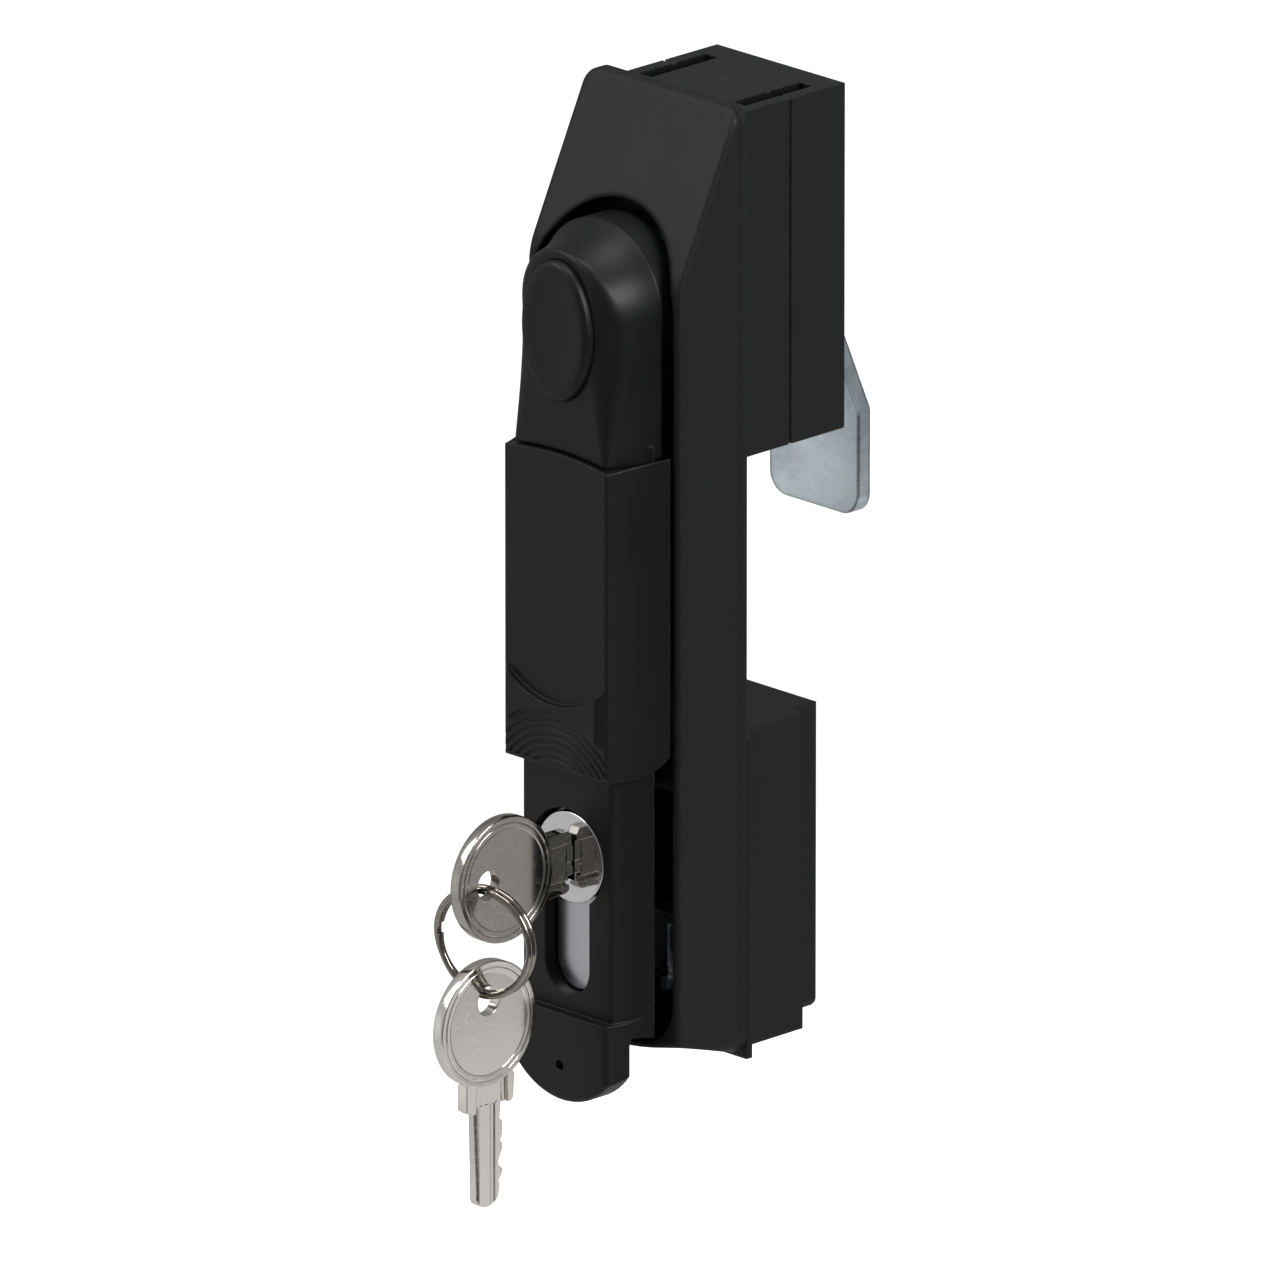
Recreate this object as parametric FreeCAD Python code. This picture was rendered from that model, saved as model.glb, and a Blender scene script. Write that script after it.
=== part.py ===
import FreeCAD, Part
import math
import os

# A swing handle that locks a cabinet door: a base plate with a long channel, a handle that
# lifts and turns in it, a cover that slides over the lock, a lock with two keys on a ring,
# and behind the door a gearbox for flat rods, a cranked cam and a rear housing.
# Lengths are millimetres. X runs across the door, Y from the front (-) into the cabinet (+),
# Z upwards. The origin is where the turning axis of the handle crosses the face of the door.

V = FreeCAD.Vector
X_AXIS = V(1, 0, 0)
Y_AXIS = V(0, 1, 0)
Z_AXIS = V(0, 0, 1)

# Base plate and gasket
base_width = 36.5
base_top = 35.0
base_bottom = -135.0
rim_y = -16.5
gasket_thick = 1.5
base_corner_r = 3.0
slope_foot_z = 5.5
slope_blend_r = 12.0
slope_land = 0.8
toe_step = 0.4
rim_edge_r = 0.5
recess_r = 17.0
recess_end_z = -130.9
recess_corner_r = 8.0
floor_thick = 3.0
toe_rise_side = 5.5
toe_rise_middle = 2.3
window_half = 9.0
window_z = (-112.0, -90.0)
boss_r = 4.2
boss_height = 4.0

# Handle
handle_gap = 0.4
head_front_y = -26.9
head_front_half = 11.2
head_back_half = 14.7
flank_hollow = 0.7
neck_gap = 0.35
rail_front_y = -25.1
rail_front_half = 10.8
rail_back_half = 14.3
rail_back_y = -18.2
handle_wall = 2.0
dome_r = 5.2
crisp_r = 0.5
ledge_z = -125.6
ledge_rise = 4.4
ledge_curve_y = -22.6
tip_r = 15.0
tip_z = -141.5
chin_hole_r = 0.9
chin_hollow_half = 7.5
chin_hollow_end = 4.5
chin_wall = 2.6
chin_thick = 4.8
chin_slope_high = 6.6
chin_bend_high = 1.8
chin_bend_in = 0.9
chin_hole_z = -135.0
skirt_y = -11.0
skirt_wall = 2.0
rib_thick = 1.6
rib_places = (-45.0, -66.0)

# Pivot of the handle
pin_y = -14.5
pin_r = 2.0
pin_half = 12.2
cheek_r = 4.5
lug_half = 6.0
lug_r = 7.0
lug_gap = 0.3
running_gap = 0.05
spring_thick = 0.8
spring_half_x = 5.0
spring_half_z = 9.0
cap_half_x = 8.1
cap_half_z = 12.5
cap_z = -2.9
cap_proud = 0.9
cap_seat = 1.5
cap_edge_r = 0.7
cap_dish = 0.25
cap_rim = 0.8
cap_fit = 0.05

# Spindle, gear and cam
flange_r = 9.0
flange_thick = 2.4
journal_r = 6.0
bush_r = 7.5
bush_end_y = 2.4
square_half = 4.0
hub_r = 7.5
hub_start_y = 3.0
gear_teeth = 12
gear_root_r = 8.6
gear_tip_r = 12.2
gear_y = (9.2, 16.4)
gear_gap = 0.7
cam_half = 10.8
cam_thick = 2.7
cam_y = 27.1
cam_offset = 7.2
cam_bend_z = (-12.0, -28.8)
cam_end_z = -48.0
cam_corner_r = 4.0
cam_edge_r = 0.6
cam_screw_r = 2.45
cam_washer_r = 7.0
cam_washer_thick = 1.4
cam_head_flats = 8.0
cam_head_high = 3.2
cam_screw_deep = 11.0

# Gearbox behind the door, in two shells
box_half = 15.4
box_z = (-28.8, 33.0)
box_split_y = 13.2
box_back_y = 26.8
box_edge_r = 1.0
split_bevel = 0.35
rod_slot_x = (9.8, 13.0)
rod_slot_y = (4.7, 20.9)
screw_r = 1.95
screw_gap = 0.25
screw_head_r = 3.6
screw_head_high = 2.6
screw_recess = 0.6
screw_end_y = -6.8
insert_r = 2.9
insert_end_y = -6.2
gearbox_screw_z = (21.5, -21.5)

# Housing behind the lock
lower_half = 15.4
lower_z = (-135.0, -78.0)
lower_step_y = 16.4
lower_back_half = 12.1
lower_back_y = 23.7
lower_back_rise = 1.6
lower_edge_r = 1.5
lower_flange_thick = 1.4
lower_flange_drop = 1.0
lower_cavity_half = 12.0
lower_wall = 3.0
lower_cavity_y = 13.0
housing_screw_z = (-84.5, -126.0)

# Sliding cover
cover_front_y = -27.9
cover_front_half = 12.4
cover_back_half = 16.8
cover_bottom_z = -81.3
cover_top_z = -24.7
cover_top_arch = 1.1
cover_rear_rise = 2.2
cover_gap = 0.3
cover_wall = 2.0
lip_thick = 1.0
lip_reach = 1.9
cover_edge_r = 0.45
grip_rise = 1.2
grip_top_half = 10.7
grip_upper_r = 17.2
grip_upper_z = -69.3
grip_lower_r = 18.4
grip_lower_z = -71.0
grip_draft = 0.3
grip_z = (-78.0, -60.0)
grip_ribs = 6
grip_rib_pitch = 1.35
grip_rib_deep = 0.3
detent_half_x = 3.0
detent_z = (-52.0, -34.0)
detent_thick = 0.6
detent_bump_r = 0.9

# Lock in the handle
lock_z = -98.0
lock_circle_r = 8.5
lock_web_half = 5.0
lock_web_end = 24.2
lock_gap = 0.4
lock_face_y = -22.4
lock_back_y = -19.4
lock_plate_thick = 1.2
lock_plate_half = 10.5
lock_plate_drop = (20.5, 6.0)
lock_tab_half = 4.0
collar_wall = 0.9
plug_face_y = -24.5
plug_cap_r = 8.2
plug_stem_r = 6.6
plug_cap_thick = 1.9
plug_end_y = -18.0
driver_r = 7.4
driver_thick = 0.8
lock_screw_r = 1.2
lock_screw_head_r = 2.1
lock_screw_head_high = 1.0
lock_screw_place = ((-8.5, -115.0), (0.0, -87.1))

# Hook that the lock swings under the keeper
hook_x = (6.6, 8.8)
hook_pin_y = -21.2
hook_pin_z = -117.5
hook_pin_r = 1.0
hook_reach = 11.5
hook_arm_half = 1.2
hook_toe_drop = 4.4
hook_toe_long = 2.8
hook_eye_r = 1.65
keeper_gap = 0.5
keeper_thick = 1.9
keeper_x = (5.4, 10.6)

# Keys and ring
key_bow_r = 11.2
key_bow_y = -40.7
key_hole_r = 2.4
key_hole_out = 4.2
key_thick = 2.3
key_shoulder_half = 6.0
key_shoulder_long = 4.8
key_blade_half = 3.8
key_blade_thick = 2.0
key_blade_long = 17.0
key_blade_seated = 6.3
key_slot_gap = 0.2
key_tip_long = 3.0
key_cuts = ((0.11, 1.0), (0.36, 0.8), (0.56, 1.3), (0.80, 1.3))
key_cut_half = 1.0
key_rim_wide = 1.3
key_rim_high = 0.2
ring_mean_r = 9.4
ring_wire_r = 0.6
ring_drop = 1.0

# Places that follow from the sizes above
floor_y = -gasket_thick - floor_thick
handle_back_y = rim_y - handle_gap
head_cavity_half = lug_half + lug_gap
lug_front_y = pin_y - lug_r
spring_back_y = lug_front_y - lug_gap
spring_front_y = spring_back_y - spring_thick
cam_back_y = cam_y + cam_thick
key_ring_y = key_bow_y - key_hole_out
ring_top_z = lock_z - ring_drop
ring_middle_z = ring_top_z - ring_mean_r
spare_hole_z = ring_middle_z - ring_mean_r - ring_drop
spare_bow_z = spare_hole_z - key_hole_out


def block(x, y, z):
    """A block between a low and a high value on each axis."""
    return Part.makeBox(x[1] - x[0], y[1] - y[0], z[1] - z[0], V(x[0], y[0], z[0]))


def bar_x(radius, x, y, z):
    return Part.makeCylinder(radius, x[1] - x[0], V(x[0], y, z), X_AXIS)


def bar_y(radius, y, x=0.0, z=0.0):
    return Part.makeCylinder(radius, y[1] - y[0], V(x, y[0], z), Y_AXIS)


def cone_y(radius_start, radius_end, y, x=0.0, z=0.0):
    return Part.makeCone(radius_start, radius_end, y[1] - y[0], V(x, y[0], z), Y_AXIS)


def plate_from(points, direction):
    """A flat outline through the points, pushed along a direction."""
    wire = Part.makePolygon(list(points) + [points[0]])
    return Part.Face(wire).extrude(direction)


def arc(start, middle, end):
    return Part.Arc(start, middle, end).toShape()


def line(start, end):
    return Part.makeLine(start, end)


def join(first, *others):
    return first.fuse(list(others)).removeSplitter()


def round_edges(shape, radius, wanted):
    """Round the edges for which wanted(edge) is true."""
    edges = [edge for edge in shape.Edges if wanted(edge)]
    return shape.makeFillet(radius, edges)


def along(edge, axis):
    """True for a straight edge that runs along an axis."""
    if not isinstance(edge.Curve, (Part.Line, Part.LineSegment)):
        return False
    return abs(edge.tangentAt(edge.FirstParameter).dot(axis)) > 0.999


def near(value, target, tolerance=0.01):
    return abs(value - target) < tolerance


def rounded_plate(half, y, z, radius):
    """An upright plate with rounded corners."""
    plate = block((-half, half), y, z)
    return round_edges(plate, radius, lambda edge: along(edge, Y_AXIS))


def flared_outline(front_y, front_half, back_y, back_half, z):
    """Cut across the handle: a flat front and flanks that flare out in a shallow hollow."""
    middle_y = (front_y + back_y) / 2
    middle_half = (front_half + back_half) / 2 - flank_hollow
    front_left = V(-front_half, front_y, z)
    front_right = V(front_half, front_y, z)
    back_left = V(-back_half, back_y, z)
    back_right = V(back_half, back_y, z)
    return Part.Face(Part.Wire([
        line(front_left, front_right),
        arc(front_right, V(middle_half, middle_y, z), back_right),
        line(back_right, back_left),
        arc(back_left, V(-middle_half, middle_y, z), front_left),
    ]))


def flared_bar(front_y, front_half, back_y, back_half, z):
    outline = flared_outline(front_y, front_half, back_y, back_half, z[0])
    return outline.extrude(V(0, 0, z[1] - z[0]))


def ledge_block(z, below):
    """The space under (or over) the curved ledge between the cover and the chin."""
    half = base_width
    front = V(-half, cover_front_y - 5, z)
    turn = V(-half, ledge_curve_y, z)
    back_y = handle_back_y + 0.5
    end = V(-half, back_y, z + ledge_rise)
    bulge = V(-half, (ledge_curve_y + back_y) / 2 + 0.6, z + ledge_rise * 0.32)
    far = -60.0 if below else 120.0
    back_far = V(-half, back_y + 8, z + ledge_rise)
    wire = Part.Wire([
        line(front, turn),
        arc(turn, bulge, end),
        line(end, back_far),
        line(back_far, V(-half, back_y + 8, z + far)),
        line(V(-half, back_y + 8, z + far), V(-half, cover_front_y - 5, z + far)),
        line(V(-half, cover_front_y - 5, z + far), front),
    ])
    return Part.Face(wire).extrude(V(2 * half, 0, 0))


def lock_profile(circle_r, web_half, web_end, y):
    """The standard keyhole outline: a circle over a narrow web with a round end."""
    end_z = lock_z - web_end + web_half
    web = join(block((-web_half, web_half), y, (end_z, lock_z)), bar_y(web_half, y, z=end_z))
    return join(bar_y(circle_r, y, z=lock_z), web)


def make_base():
    half = base_width / 2
    body = rounded_plate(half, (rim_y, -gasket_thick), (base_bottom, base_top), base_corner_r)
    land_y = -gasket_thick - slope_land
    steep = (base_top - slope_foot_z) / (land_y - rim_y)
    over = 6.0
    wedge = plate_from([
        V(-half - 1, rim_y - over, slope_foot_z - steep * over),
        V(-half - 1, land_y + over, base_top + steep * over),
        V(-half - 1, rim_y - over, base_top + steep * over),
    ], V(base_width + 2, 0, 0))
    body = body.cut(wedge)
    body = round_edges(body, slope_blend_r, lambda edge: along(edge, X_AXIS)
                       and near(edge.CenterOfMass.z, slope_foot_z)
                       and near(edge.CenterOfMass.y, rim_y))
    body = round_edges(body, rim_edge_r, lambda edge: near(abs(edge.CenterOfMass.x), half)
                       and edge.BoundBox.ZLength > edge.BoundBox.YLength
                       and edge.CenterOfMass.y < -gasket_thick - 1)
    body = body.cut(base_toe())
    over_rim = rim_y - 12.0
    body = body.cut(bar_y(recess_r, (over_rim, floor_y)))
    body = body.cut(channel(recess_r, recess_end_z, recess_corner_r, (over_rim, floor_y)))
    for z in (gearbox_screw_z[1],) + housing_screw_z:
        body = body.fuse(bar_y(boss_r, (floor_y - boss_height, floor_y), z=z))
    for z in gearbox_screw_z + housing_screw_z:
        body = body.cut(bar_y(insert_r, (insert_end_y, 0), z=z))
        body = body.cut(bar_y(screw_r + running_gap, (screw_end_y - 0.4, 0), z=z))
    body = body.cut(bar_y(bush_r, (floor_y - 1, 0)))
    body = body.cut(block((-window_half, window_half), (floor_y - 1, 0), window_z))
    return body.removeSplitter()


def base_toe():
    """What the slanted, slightly bowed lower end of the base leaves away."""
    half = base_width / 2 + 1
    low = base_bottom - 10

    def end_wire(y, side_z, middle_z):
        left, right = V(-half, y, side_z), V(half, y, side_z)
        return Part.Wire([
            arc(left, V(0, y, middle_z), right),
            line(right, V(half, y, low)),
            line(V(half, y, low), V(-half, y, low)),
            line(V(-half, y, low), left),
        ])

    depth = rim_y + gasket_thick
    over = 1.1
    door_z = base_bottom + toe_step
    at_door = end_wire(-gasket_thick - depth * (over - 1), door_z - toe_rise_side * (over - 1),
                       door_z - toe_rise_middle * (over - 1))
    at_rim = end_wire(-gasket_thick + depth * over, base_bottom + toe_rise_side * over,
                      base_bottom + toe_rise_middle * over)
    return Part.makeLoft([at_door, at_rim], True, True)


def channel(half, end_z, corner, y):
    """The long recess that the handle lies in, from the turning axis to its round end."""
    inner = half - corner
    slant = corner * (1 - math.sqrt(0.5))
    start = y[0]
    wire = Part.Wire([
        line(V(-half, start, 0), V(half, start, 0)),
        line(V(half, start, 0), V(half, start, end_z + corner)),
        arc(V(half, start, end_z + corner), V(half - slant, start, end_z + slant),
            V(inner, start, end_z)),
        line(V(inner, start, end_z), V(-inner, start, end_z)),
        arc(V(-inner, start, end_z), V(-half + slant, start, end_z + slant),
            V(-half, start, end_z + corner)),
        line(V(-half, start, end_z + corner), V(-half, start, 0)),
    ])
    return Part.Face(wire).extrude(V(0, y[1] - y[0], 0))


def make_gasket():
    body = rounded_plate(base_width / 2, (-gasket_thick, 0), (base_bottom, base_top),
                         base_corner_r)
    body = body.cut(bar_y(bush_r, (-gasket_thick - 1, 1)))
    body = body.cut(block((-window_half, window_half), (-gasket_thick - 1, 1), window_z))
    for z in gearbox_screw_z + housing_screw_z:
        body = body.cut(bar_y(insert_r, (-gasket_thick - 1, 1), z=z))
    return body


def make_inserts():
    """Brass thread inserts in the back of the base, one for each long screw."""
    rings = []
    for z in gearbox_screw_z + housing_screw_z:
        ring = bar_y(insert_r, (insert_end_y, 0), z=z)
        rings.append(ring.cut(bar_y(screw_r + running_gap, (insert_end_y - 1, 1), z=z)))
    return Part.makeCompound(rings)


def long_screw(z, seat_y):
    """A pan-head screw from behind: its head stands on seat_y."""
    head = bar_y(screw_head_r, (seat_y, seat_y + screw_head_high), z=z)
    head = head.makeFillet(0.8, [edge for edge in head.Edges
                                 if near(edge.CenterOfMass.y, seat_y + screw_head_high)])
    slot = 0.5
    cross = block((-2.2, 2.2), (seat_y + screw_head_high - 1.2, seat_y + 9), (z - slot, z + slot))
    tee = block((-slot, slot), (seat_y + screw_head_high - 1.2, seat_y + 9), (z - 2.2, z + 2.2))
    return join(head.cut(cross).cut(tee), bar_y(screw_r, (screw_end_y, seat_y), z=z))


def gearbox_hollows():
    """Rod slots, gear room, hub bore and screw holes that both shells share."""
    tools = [bar_y(gear_tip_r + gear_gap, (gear_y[0] - gear_gap, gear_y[1] + gear_gap))]
    tools.append(bar_y(hub_r + running_gap, (0, box_back_y + 1)))
    tools.append(bar_y(bush_r, (-1, bush_end_y)))
    for side in (-1, 1):
        slot_x = sorted(side * value for value in rod_slot_x)
        tools.append(block(slot_x, rod_slot_y, (box_z[0] - 1, box_z[1] + 1)))
    for z in gearbox_screw_z:
        tools.append(bar_y(screw_r + screw_gap, (-1, box_back_y + 1), z=z))
    return tools


def make_gearbox_front():
    shell = block((-box_half, box_half), (0, box_split_y), box_z)
    shell = shell.makeChamfer(split_bevel, [edge for edge in shell.Edges
                                            if near(edge.CenterOfMass.y, box_split_y)])
    return shell.cut(gearbox_hollows()).removeSplitter()


def make_gearbox_rear():
    shell = block((-box_half, box_half), (box_split_y, box_back_y), box_z)
    shell = shell.makeChamfer(split_bevel, [edge for edge in shell.Edges
                                            if near(edge.CenterOfMass.y, box_split_y)])
    shell = round_edges(shell, box_edge_r, lambda edge: near(edge.CenterOfMass.y, box_back_y))
    shell = shell.cut(gearbox_hollows())
    for z in gearbox_screw_z:
        seat = box_back_y - screw_recess - screw_head_high
        shell = shell.cut(bar_y(screw_head_r + screw_gap, (seat, box_back_y + 1), z=z))
    return shell.removeSplitter()


def make_lower_housing():
    front = block((-lower_half, lower_half), (0, lower_step_y), lower_z)
    back_z = (lower_z[0] + lower_back_rise, lower_z[1])
    back = block((-lower_back_half, lower_back_half), (lower_step_y - 1, lower_back_y), back_z)
    back = round_edges(back, lower_edge_r, lambda edge: near(edge.CenterOfMass.y, lower_back_y)
                       or (along(edge, Y_AXIS) and near(edge.CenterOfMass.z, back_z[0])))
    flange = block((-base_width / 2, base_width / 2), (0, lower_flange_thick),
                   (lower_z[0] - lower_flange_drop, lower_z[1]))
    body = join(front, back, flange)
    cavity = block((-lower_cavity_half, lower_cavity_half), (-1, lower_cavity_y),
                   (lower_z[0] + lower_wall, lower_z[1] - lower_wall))
    body = body.cut(cavity)
    seat = lower_back_y - screw_recess - screw_head_high
    for z in housing_screw_z:
        body = body.fuse(bar_y(boss_r, (0, lower_cavity_y + 1), z=z))
        body = body.cut(bar_y(screw_r + screw_gap, (-1, lower_back_y + 1), z=z))
        body = body.cut(bar_y(screw_head_r + screw_gap, (seat, lower_back_y + 1), z=z))
    return body.removeSplitter()


def make_bush():
    ring = bar_y(bush_r, (floor_y, bush_end_y))
    return ring.cut(bar_y(journal_r + running_gap, (floor_y - 1, bush_end_y + 1)))


def make_keeper():
    """A folded catch on the channel floor: a post with a lip that the hook swings behind."""
    lip_top_z = hook_pin_z - hook_arm_half - keeper_gap
    toe_front_y = hook_pin_y + hook_reach - hook_toe_long
    lip_y = (toe_front_y - keeper_gap - keeper_thick, toe_front_y - keeper_gap)
    post_z = (hook_pin_z - hook_toe_drop - keeper_gap - keeper_thick,
              hook_pin_z - hook_toe_drop - keeper_gap)
    post = block(keeper_x, (lip_y[0], floor_y), post_z)
    lip = block(keeper_x, lip_y, (post_z[0], lip_top_z))
    foot = block(keeper_x, (floor_y - keeper_thick, floor_y), (post_z[0], window_z[0] - 1.0))
    return join(post, lip, foot)


def make_spindle():
    flange_y = (floor_y - lug_gap - flange_thick, floor_y - lug_gap)
    eye = bar_x(lug_r, (-lug_half, lug_half), pin_y, 0)
    stem = block((-lug_half, lug_half), (pin_y, flange_y[1]), (-lug_r + 0.5, lug_r - 0.5))
    body = join(eye, stem, bar_y(flange_r, flange_y), bar_y(journal_r, (flange_y[0], hub_start_y)))
    square = block((-square_half, square_half), (0, cam_back_y - 0.2),
                   (-square_half, square_half))
    body = join(body, square)
    body = body.cut(bar_x(pin_r + running_gap, (-lug_half - 1, lug_half + 1), pin_y, 0))
    thread = bar_y(cam_screw_r, (cam_back_y - cam_screw_deep - 1, cam_back_y + 1))
    return body.cut(thread).removeSplitter()


def make_gear():
    """The gear that drives the flat rods, on a long hub that runs in the rear shell."""
    points = []
    for tooth in range(gear_teeth):
        middle = 2 * math.pi * tooth / gear_teeth
        for share, radius in ((-0.30, gear_root_r), (-0.13, gear_tip_r),
                              (0.13, gear_tip_r), (0.30, gear_root_r)):
            angle = middle + share * 2 * math.pi / gear_teeth
            points.append(V(radius * math.cos(angle), gear_y[0], radius * math.sin(angle)))
    wheel = plate_from(points, V(0, gear_y[1] - gear_y[0], 0))
    hub = bar_y(hub_r, (hub_start_y, cam_y))
    hole_half = square_half + running_gap
    hole = block((-hole_half, hole_half), (0, cam_y + 1), (-hole_half, hole_half))
    return join(wheel, hub).cut(hole).removeSplitter()


def make_cam():
    """A cranked steel plate: flat at the spindle, stepped back, flat again at its end."""
    run = cam_bend_z[0] - cam_bend_z[1]
    shift = cam_thick * math.tan(math.atan2(cam_offset, run) / 2)
    top_z = cam_half
    back = [V(-cam_half, cam_back_y, top_z), V(-cam_half, cam_back_y, cam_bend_z[0]),
            V(-cam_half, cam_back_y + cam_offset, cam_bend_z[1]),
            V(-cam_half, cam_back_y + cam_offset, cam_end_z)]
    front = [V(-cam_half, cam_y + cam_offset, cam_end_z),
             V(-cam_half, cam_y + cam_offset, cam_bend_z[1] - shift),
             V(-cam_half, cam_y, cam_bend_z[0] - shift), V(-cam_half, cam_y, top_z)]
    plate = plate_from(back + front, V(2 * cam_half, 0, 0))
    plate = round_edges(plate, cam_thick, lambda edge: along(edge, X_AXIS)
                        and cam_bend_z[1] - 2 < edge.CenterOfMass.z < cam_bend_z[0] + 2)
    tall = (cam_y - 5, cam_back_y + cam_offset + 5)
    outline = join(bar_y(cam_half, tall),
                   block((-cam_half, cam_half), tall, (cam_end_z + cam_corner_r, 0)),
                   block((-cam_half + cam_corner_r, cam_half - cam_corner_r), tall,
                         (cam_end_z, cam_end_z + cam_corner_r)),
                   bar_y(cam_corner_r, tall, cam_half - cam_corner_r, cam_end_z + cam_corner_r),
                   bar_y(cam_corner_r, tall, cam_corner_r - cam_half, cam_end_z + cam_corner_r))
    plate = plate.common(outline)
    hole_half = square_half + running_gap
    return plate.cut(block((-hole_half, hole_half), tall, (-hole_half, hole_half)))


def make_cam_washer():
    ring = bar_y(cam_washer_r, (cam_back_y, cam_back_y + cam_washer_thick))
    return ring.cut(bar_y(cam_screw_r + screw_gap, (cam_back_y - 1, cam_back_y + 5)))


def make_cam_screw():
    seat = cam_back_y + cam_washer_thick
    corner_r = cam_head_flats / math.sqrt(3)
    points = [V(corner_r * math.cos(math.radians(60 * step)), seat,
                corner_r * math.sin(math.radians(60 * step))) for step in range(6)]
    head = plate_from(points, V(0, cam_head_high, 0))
    dome = cone_y(corner_r + 2.6, corner_r - 1.0, (seat - 0.6, seat + cam_head_high))
    head = head.common(dome)
    return join(head, bar_y(cam_screw_r - running_gap, (cam_back_y - cam_screw_deep, seat)))


def head_and_neck():
    """The round head and short neck in one skin, soft round the top and crisp on the neck."""
    profile_half = flared_outline(head_front_y, head_front_half, handle_back_y, head_back_half, 0)
    right = profile_half.common(Part.Face(Part.makePolygon([
        V(0, head_front_y - 1, 0), V(head_back_half + 1, head_front_y - 1, 0),
        V(head_back_half + 1, handle_back_y + 1, 0), V(0, handle_back_y + 1, 0),
        V(0, head_front_y - 1, 0)])))
    quarter = right.revolve(V(0, 0, 0), V(0, -1, 0), 90)
    crown = quarter.fuse(quarter.mirror(V(0, 0, 0), X_AXIS))
    neck = flared_bar(head_front_y, head_front_half, handle_back_y, head_back_half,
                      (cover_top_z - cover_top_arch - 1, 0))
    body = crown.fuse(neck)
    rims = []
    for number, edge in enumerate(body.Edges, 1):
        middle = edge.CenterOfMass
        if not near(edge.BoundBox.YMin, head_front_y) or not near(edge.BoundBox.YMax, head_front_y):
            continue
        starts_high = edge.firstVertex(True).Point.z > edge.lastVertex(True).Point.z
        if middle.z > 0.1 and abs(middle.x) > 0.1:
            rims.append((number, dome_r, crisp_r) if starts_high else (number, crisp_r, dome_r))
        elif along(edge, Z_AXIS) and near(abs(middle.x), head_front_half):
            rims.append((number, crisp_r, crisp_r))
    return soften(body, rims)


def soften(body, rims):
    """Fillets whose radius changes along an edge: rims holds (edge number, start, end)."""
    document = FreeCAD.newDocument("soften")
    source = document.addObject("Part::Feature", "body")
    source.Shape = body
    fillet = document.addObject("Part::Fillet", "rounded")
    fillet.Base = source
    fillet.Edges = rims
    document.recompute()
    shape = fillet.Shape.copy()
    FreeCAD.closeDocument(document.Name)
    return shape


def chin():
    """The tongue below the lock that the fingers lift: proud, round at its end."""
    bar = flared_bar(head_front_y, head_front_half, handle_back_y, head_back_half,
                     (tip_z - 1, ledge_z + ledge_rise + 1))
    tall = (head_front_y - 5, handle_back_y + 5)
    centre_z = tip_z + tip_r
    tongue = join(bar_y(tip_r, tall, z=centre_z),
                  block((-tip_r, tip_r), tall, (centre_z, ledge_z + 10)))
    body = bar.common(tongue).common(ledge_block(ledge_z, True))
    body = round_edges(body, 1.0, lambda edge: near(edge.BoundBox.YMax, head_front_y)
                       and edge.CenterOfMass.z < ledge_z - 3)
    hollow_top = lock_z - lock_web_end - handle_wall - lock_gap
    hollow = block((-chin_hollow_half, chin_hollow_half), (head_front_y + chin_wall, handle_back_y + 1),
                   (tip_z + chin_hollow_end, hollow_top))
    return body.cut(hollow).cut(finger_room())


def finger_room():
    """The slanted room behind the chin, where a fingertip gets under the handle."""
    side = -base_width
    top_z = ledge_z + ledge_rise
    low_z = tip_z - 5
    chin_back_y = head_front_y + chin_thick
    start = V(side, handle_back_y, top_z)
    slope_end = V(side, chin_back_y + chin_bend_in, top_z - chin_slope_high)
    bend_middle = V(side, chin_back_y + 0.27 * chin_bend_in, top_z - chin_slope_high - 0.5 * chin_bend_high)
    bend_end = V(side, chin_back_y, top_z - chin_slope_high - chin_bend_high)
    wire = Part.Wire([
        line(start, slope_end),
        arc(slope_end, bend_middle, bend_end),
        line(bend_end, V(side, chin_back_y, low_z)),
        line(V(side, chin_back_y, low_z), V(side, handle_back_y + 5, low_z)),
        line(V(side, handle_back_y + 5, low_z), V(side, handle_back_y + 5, top_z)),
        line(V(side, handle_back_y + 5, top_z), start),
    ])
    return Part.Face(wire).extrude(V(2 * base_width, 0, 0))


def rail_room(z):
    """The room inside the rail: its own section less the wall."""
    return flared_bar(rail_front_y + handle_wall, rail_front_half - handle_wall + 0.2,
                      rail_back_y + 0.02, rail_back_half - handle_wall, z)


def make_handle():
    rail = flared_bar(rail_front_y, rail_front_half, rail_back_y, rail_back_half,
                      (ledge_z - 3, cover_top_z + cover_rear_rise))
    rail = round_edges(rail, crisp_r, lambda edge: along(edge, Z_AXIS)
                       and near(edge.CenterOfMass.y, rail_front_y))
    over_cover = cover_top()
    over_cover.translate(V(0, 0, neck_gap))
    body = join(head_and_neck().cut(over_cover), rail, chin())
    skirt = bar_y(head_back_half, (handle_back_y, skirt_y))
    skirt = skirt.cut(bar_y(head_back_half - skirt_wall, (handle_back_y - 1, skirt_y + 1)))
    body = join(body, skirt)
    body = hollow_handle(body)
    body = add_cheeks(body)
    return lock_seat(body).removeSplitter()


def hollow_handle(body):
    """Open the rail from behind, with cross ribs left standing."""
    top = -head_back_half - 0.5
    bottom = lock_z - lock_web_end - lock_gap - collar_wall
    stops = [top] + [z for z in rib_places] + [lock_z + 13.5, bottom]
    for upper, lower in zip(stops[:-1], stops[1:]):
        low = lower + (rib_thick if lower != bottom else 0)
        body = body.cut(rail_room((low, upper - 0.001)))
        inner = rail_back_half - handle_wall - 0.6
        body = body.cut(block((-inner, inner), (rail_back_y - 0.05, handle_back_y + 1),
                              (low, upper - 0.001)))
    return body


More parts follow.
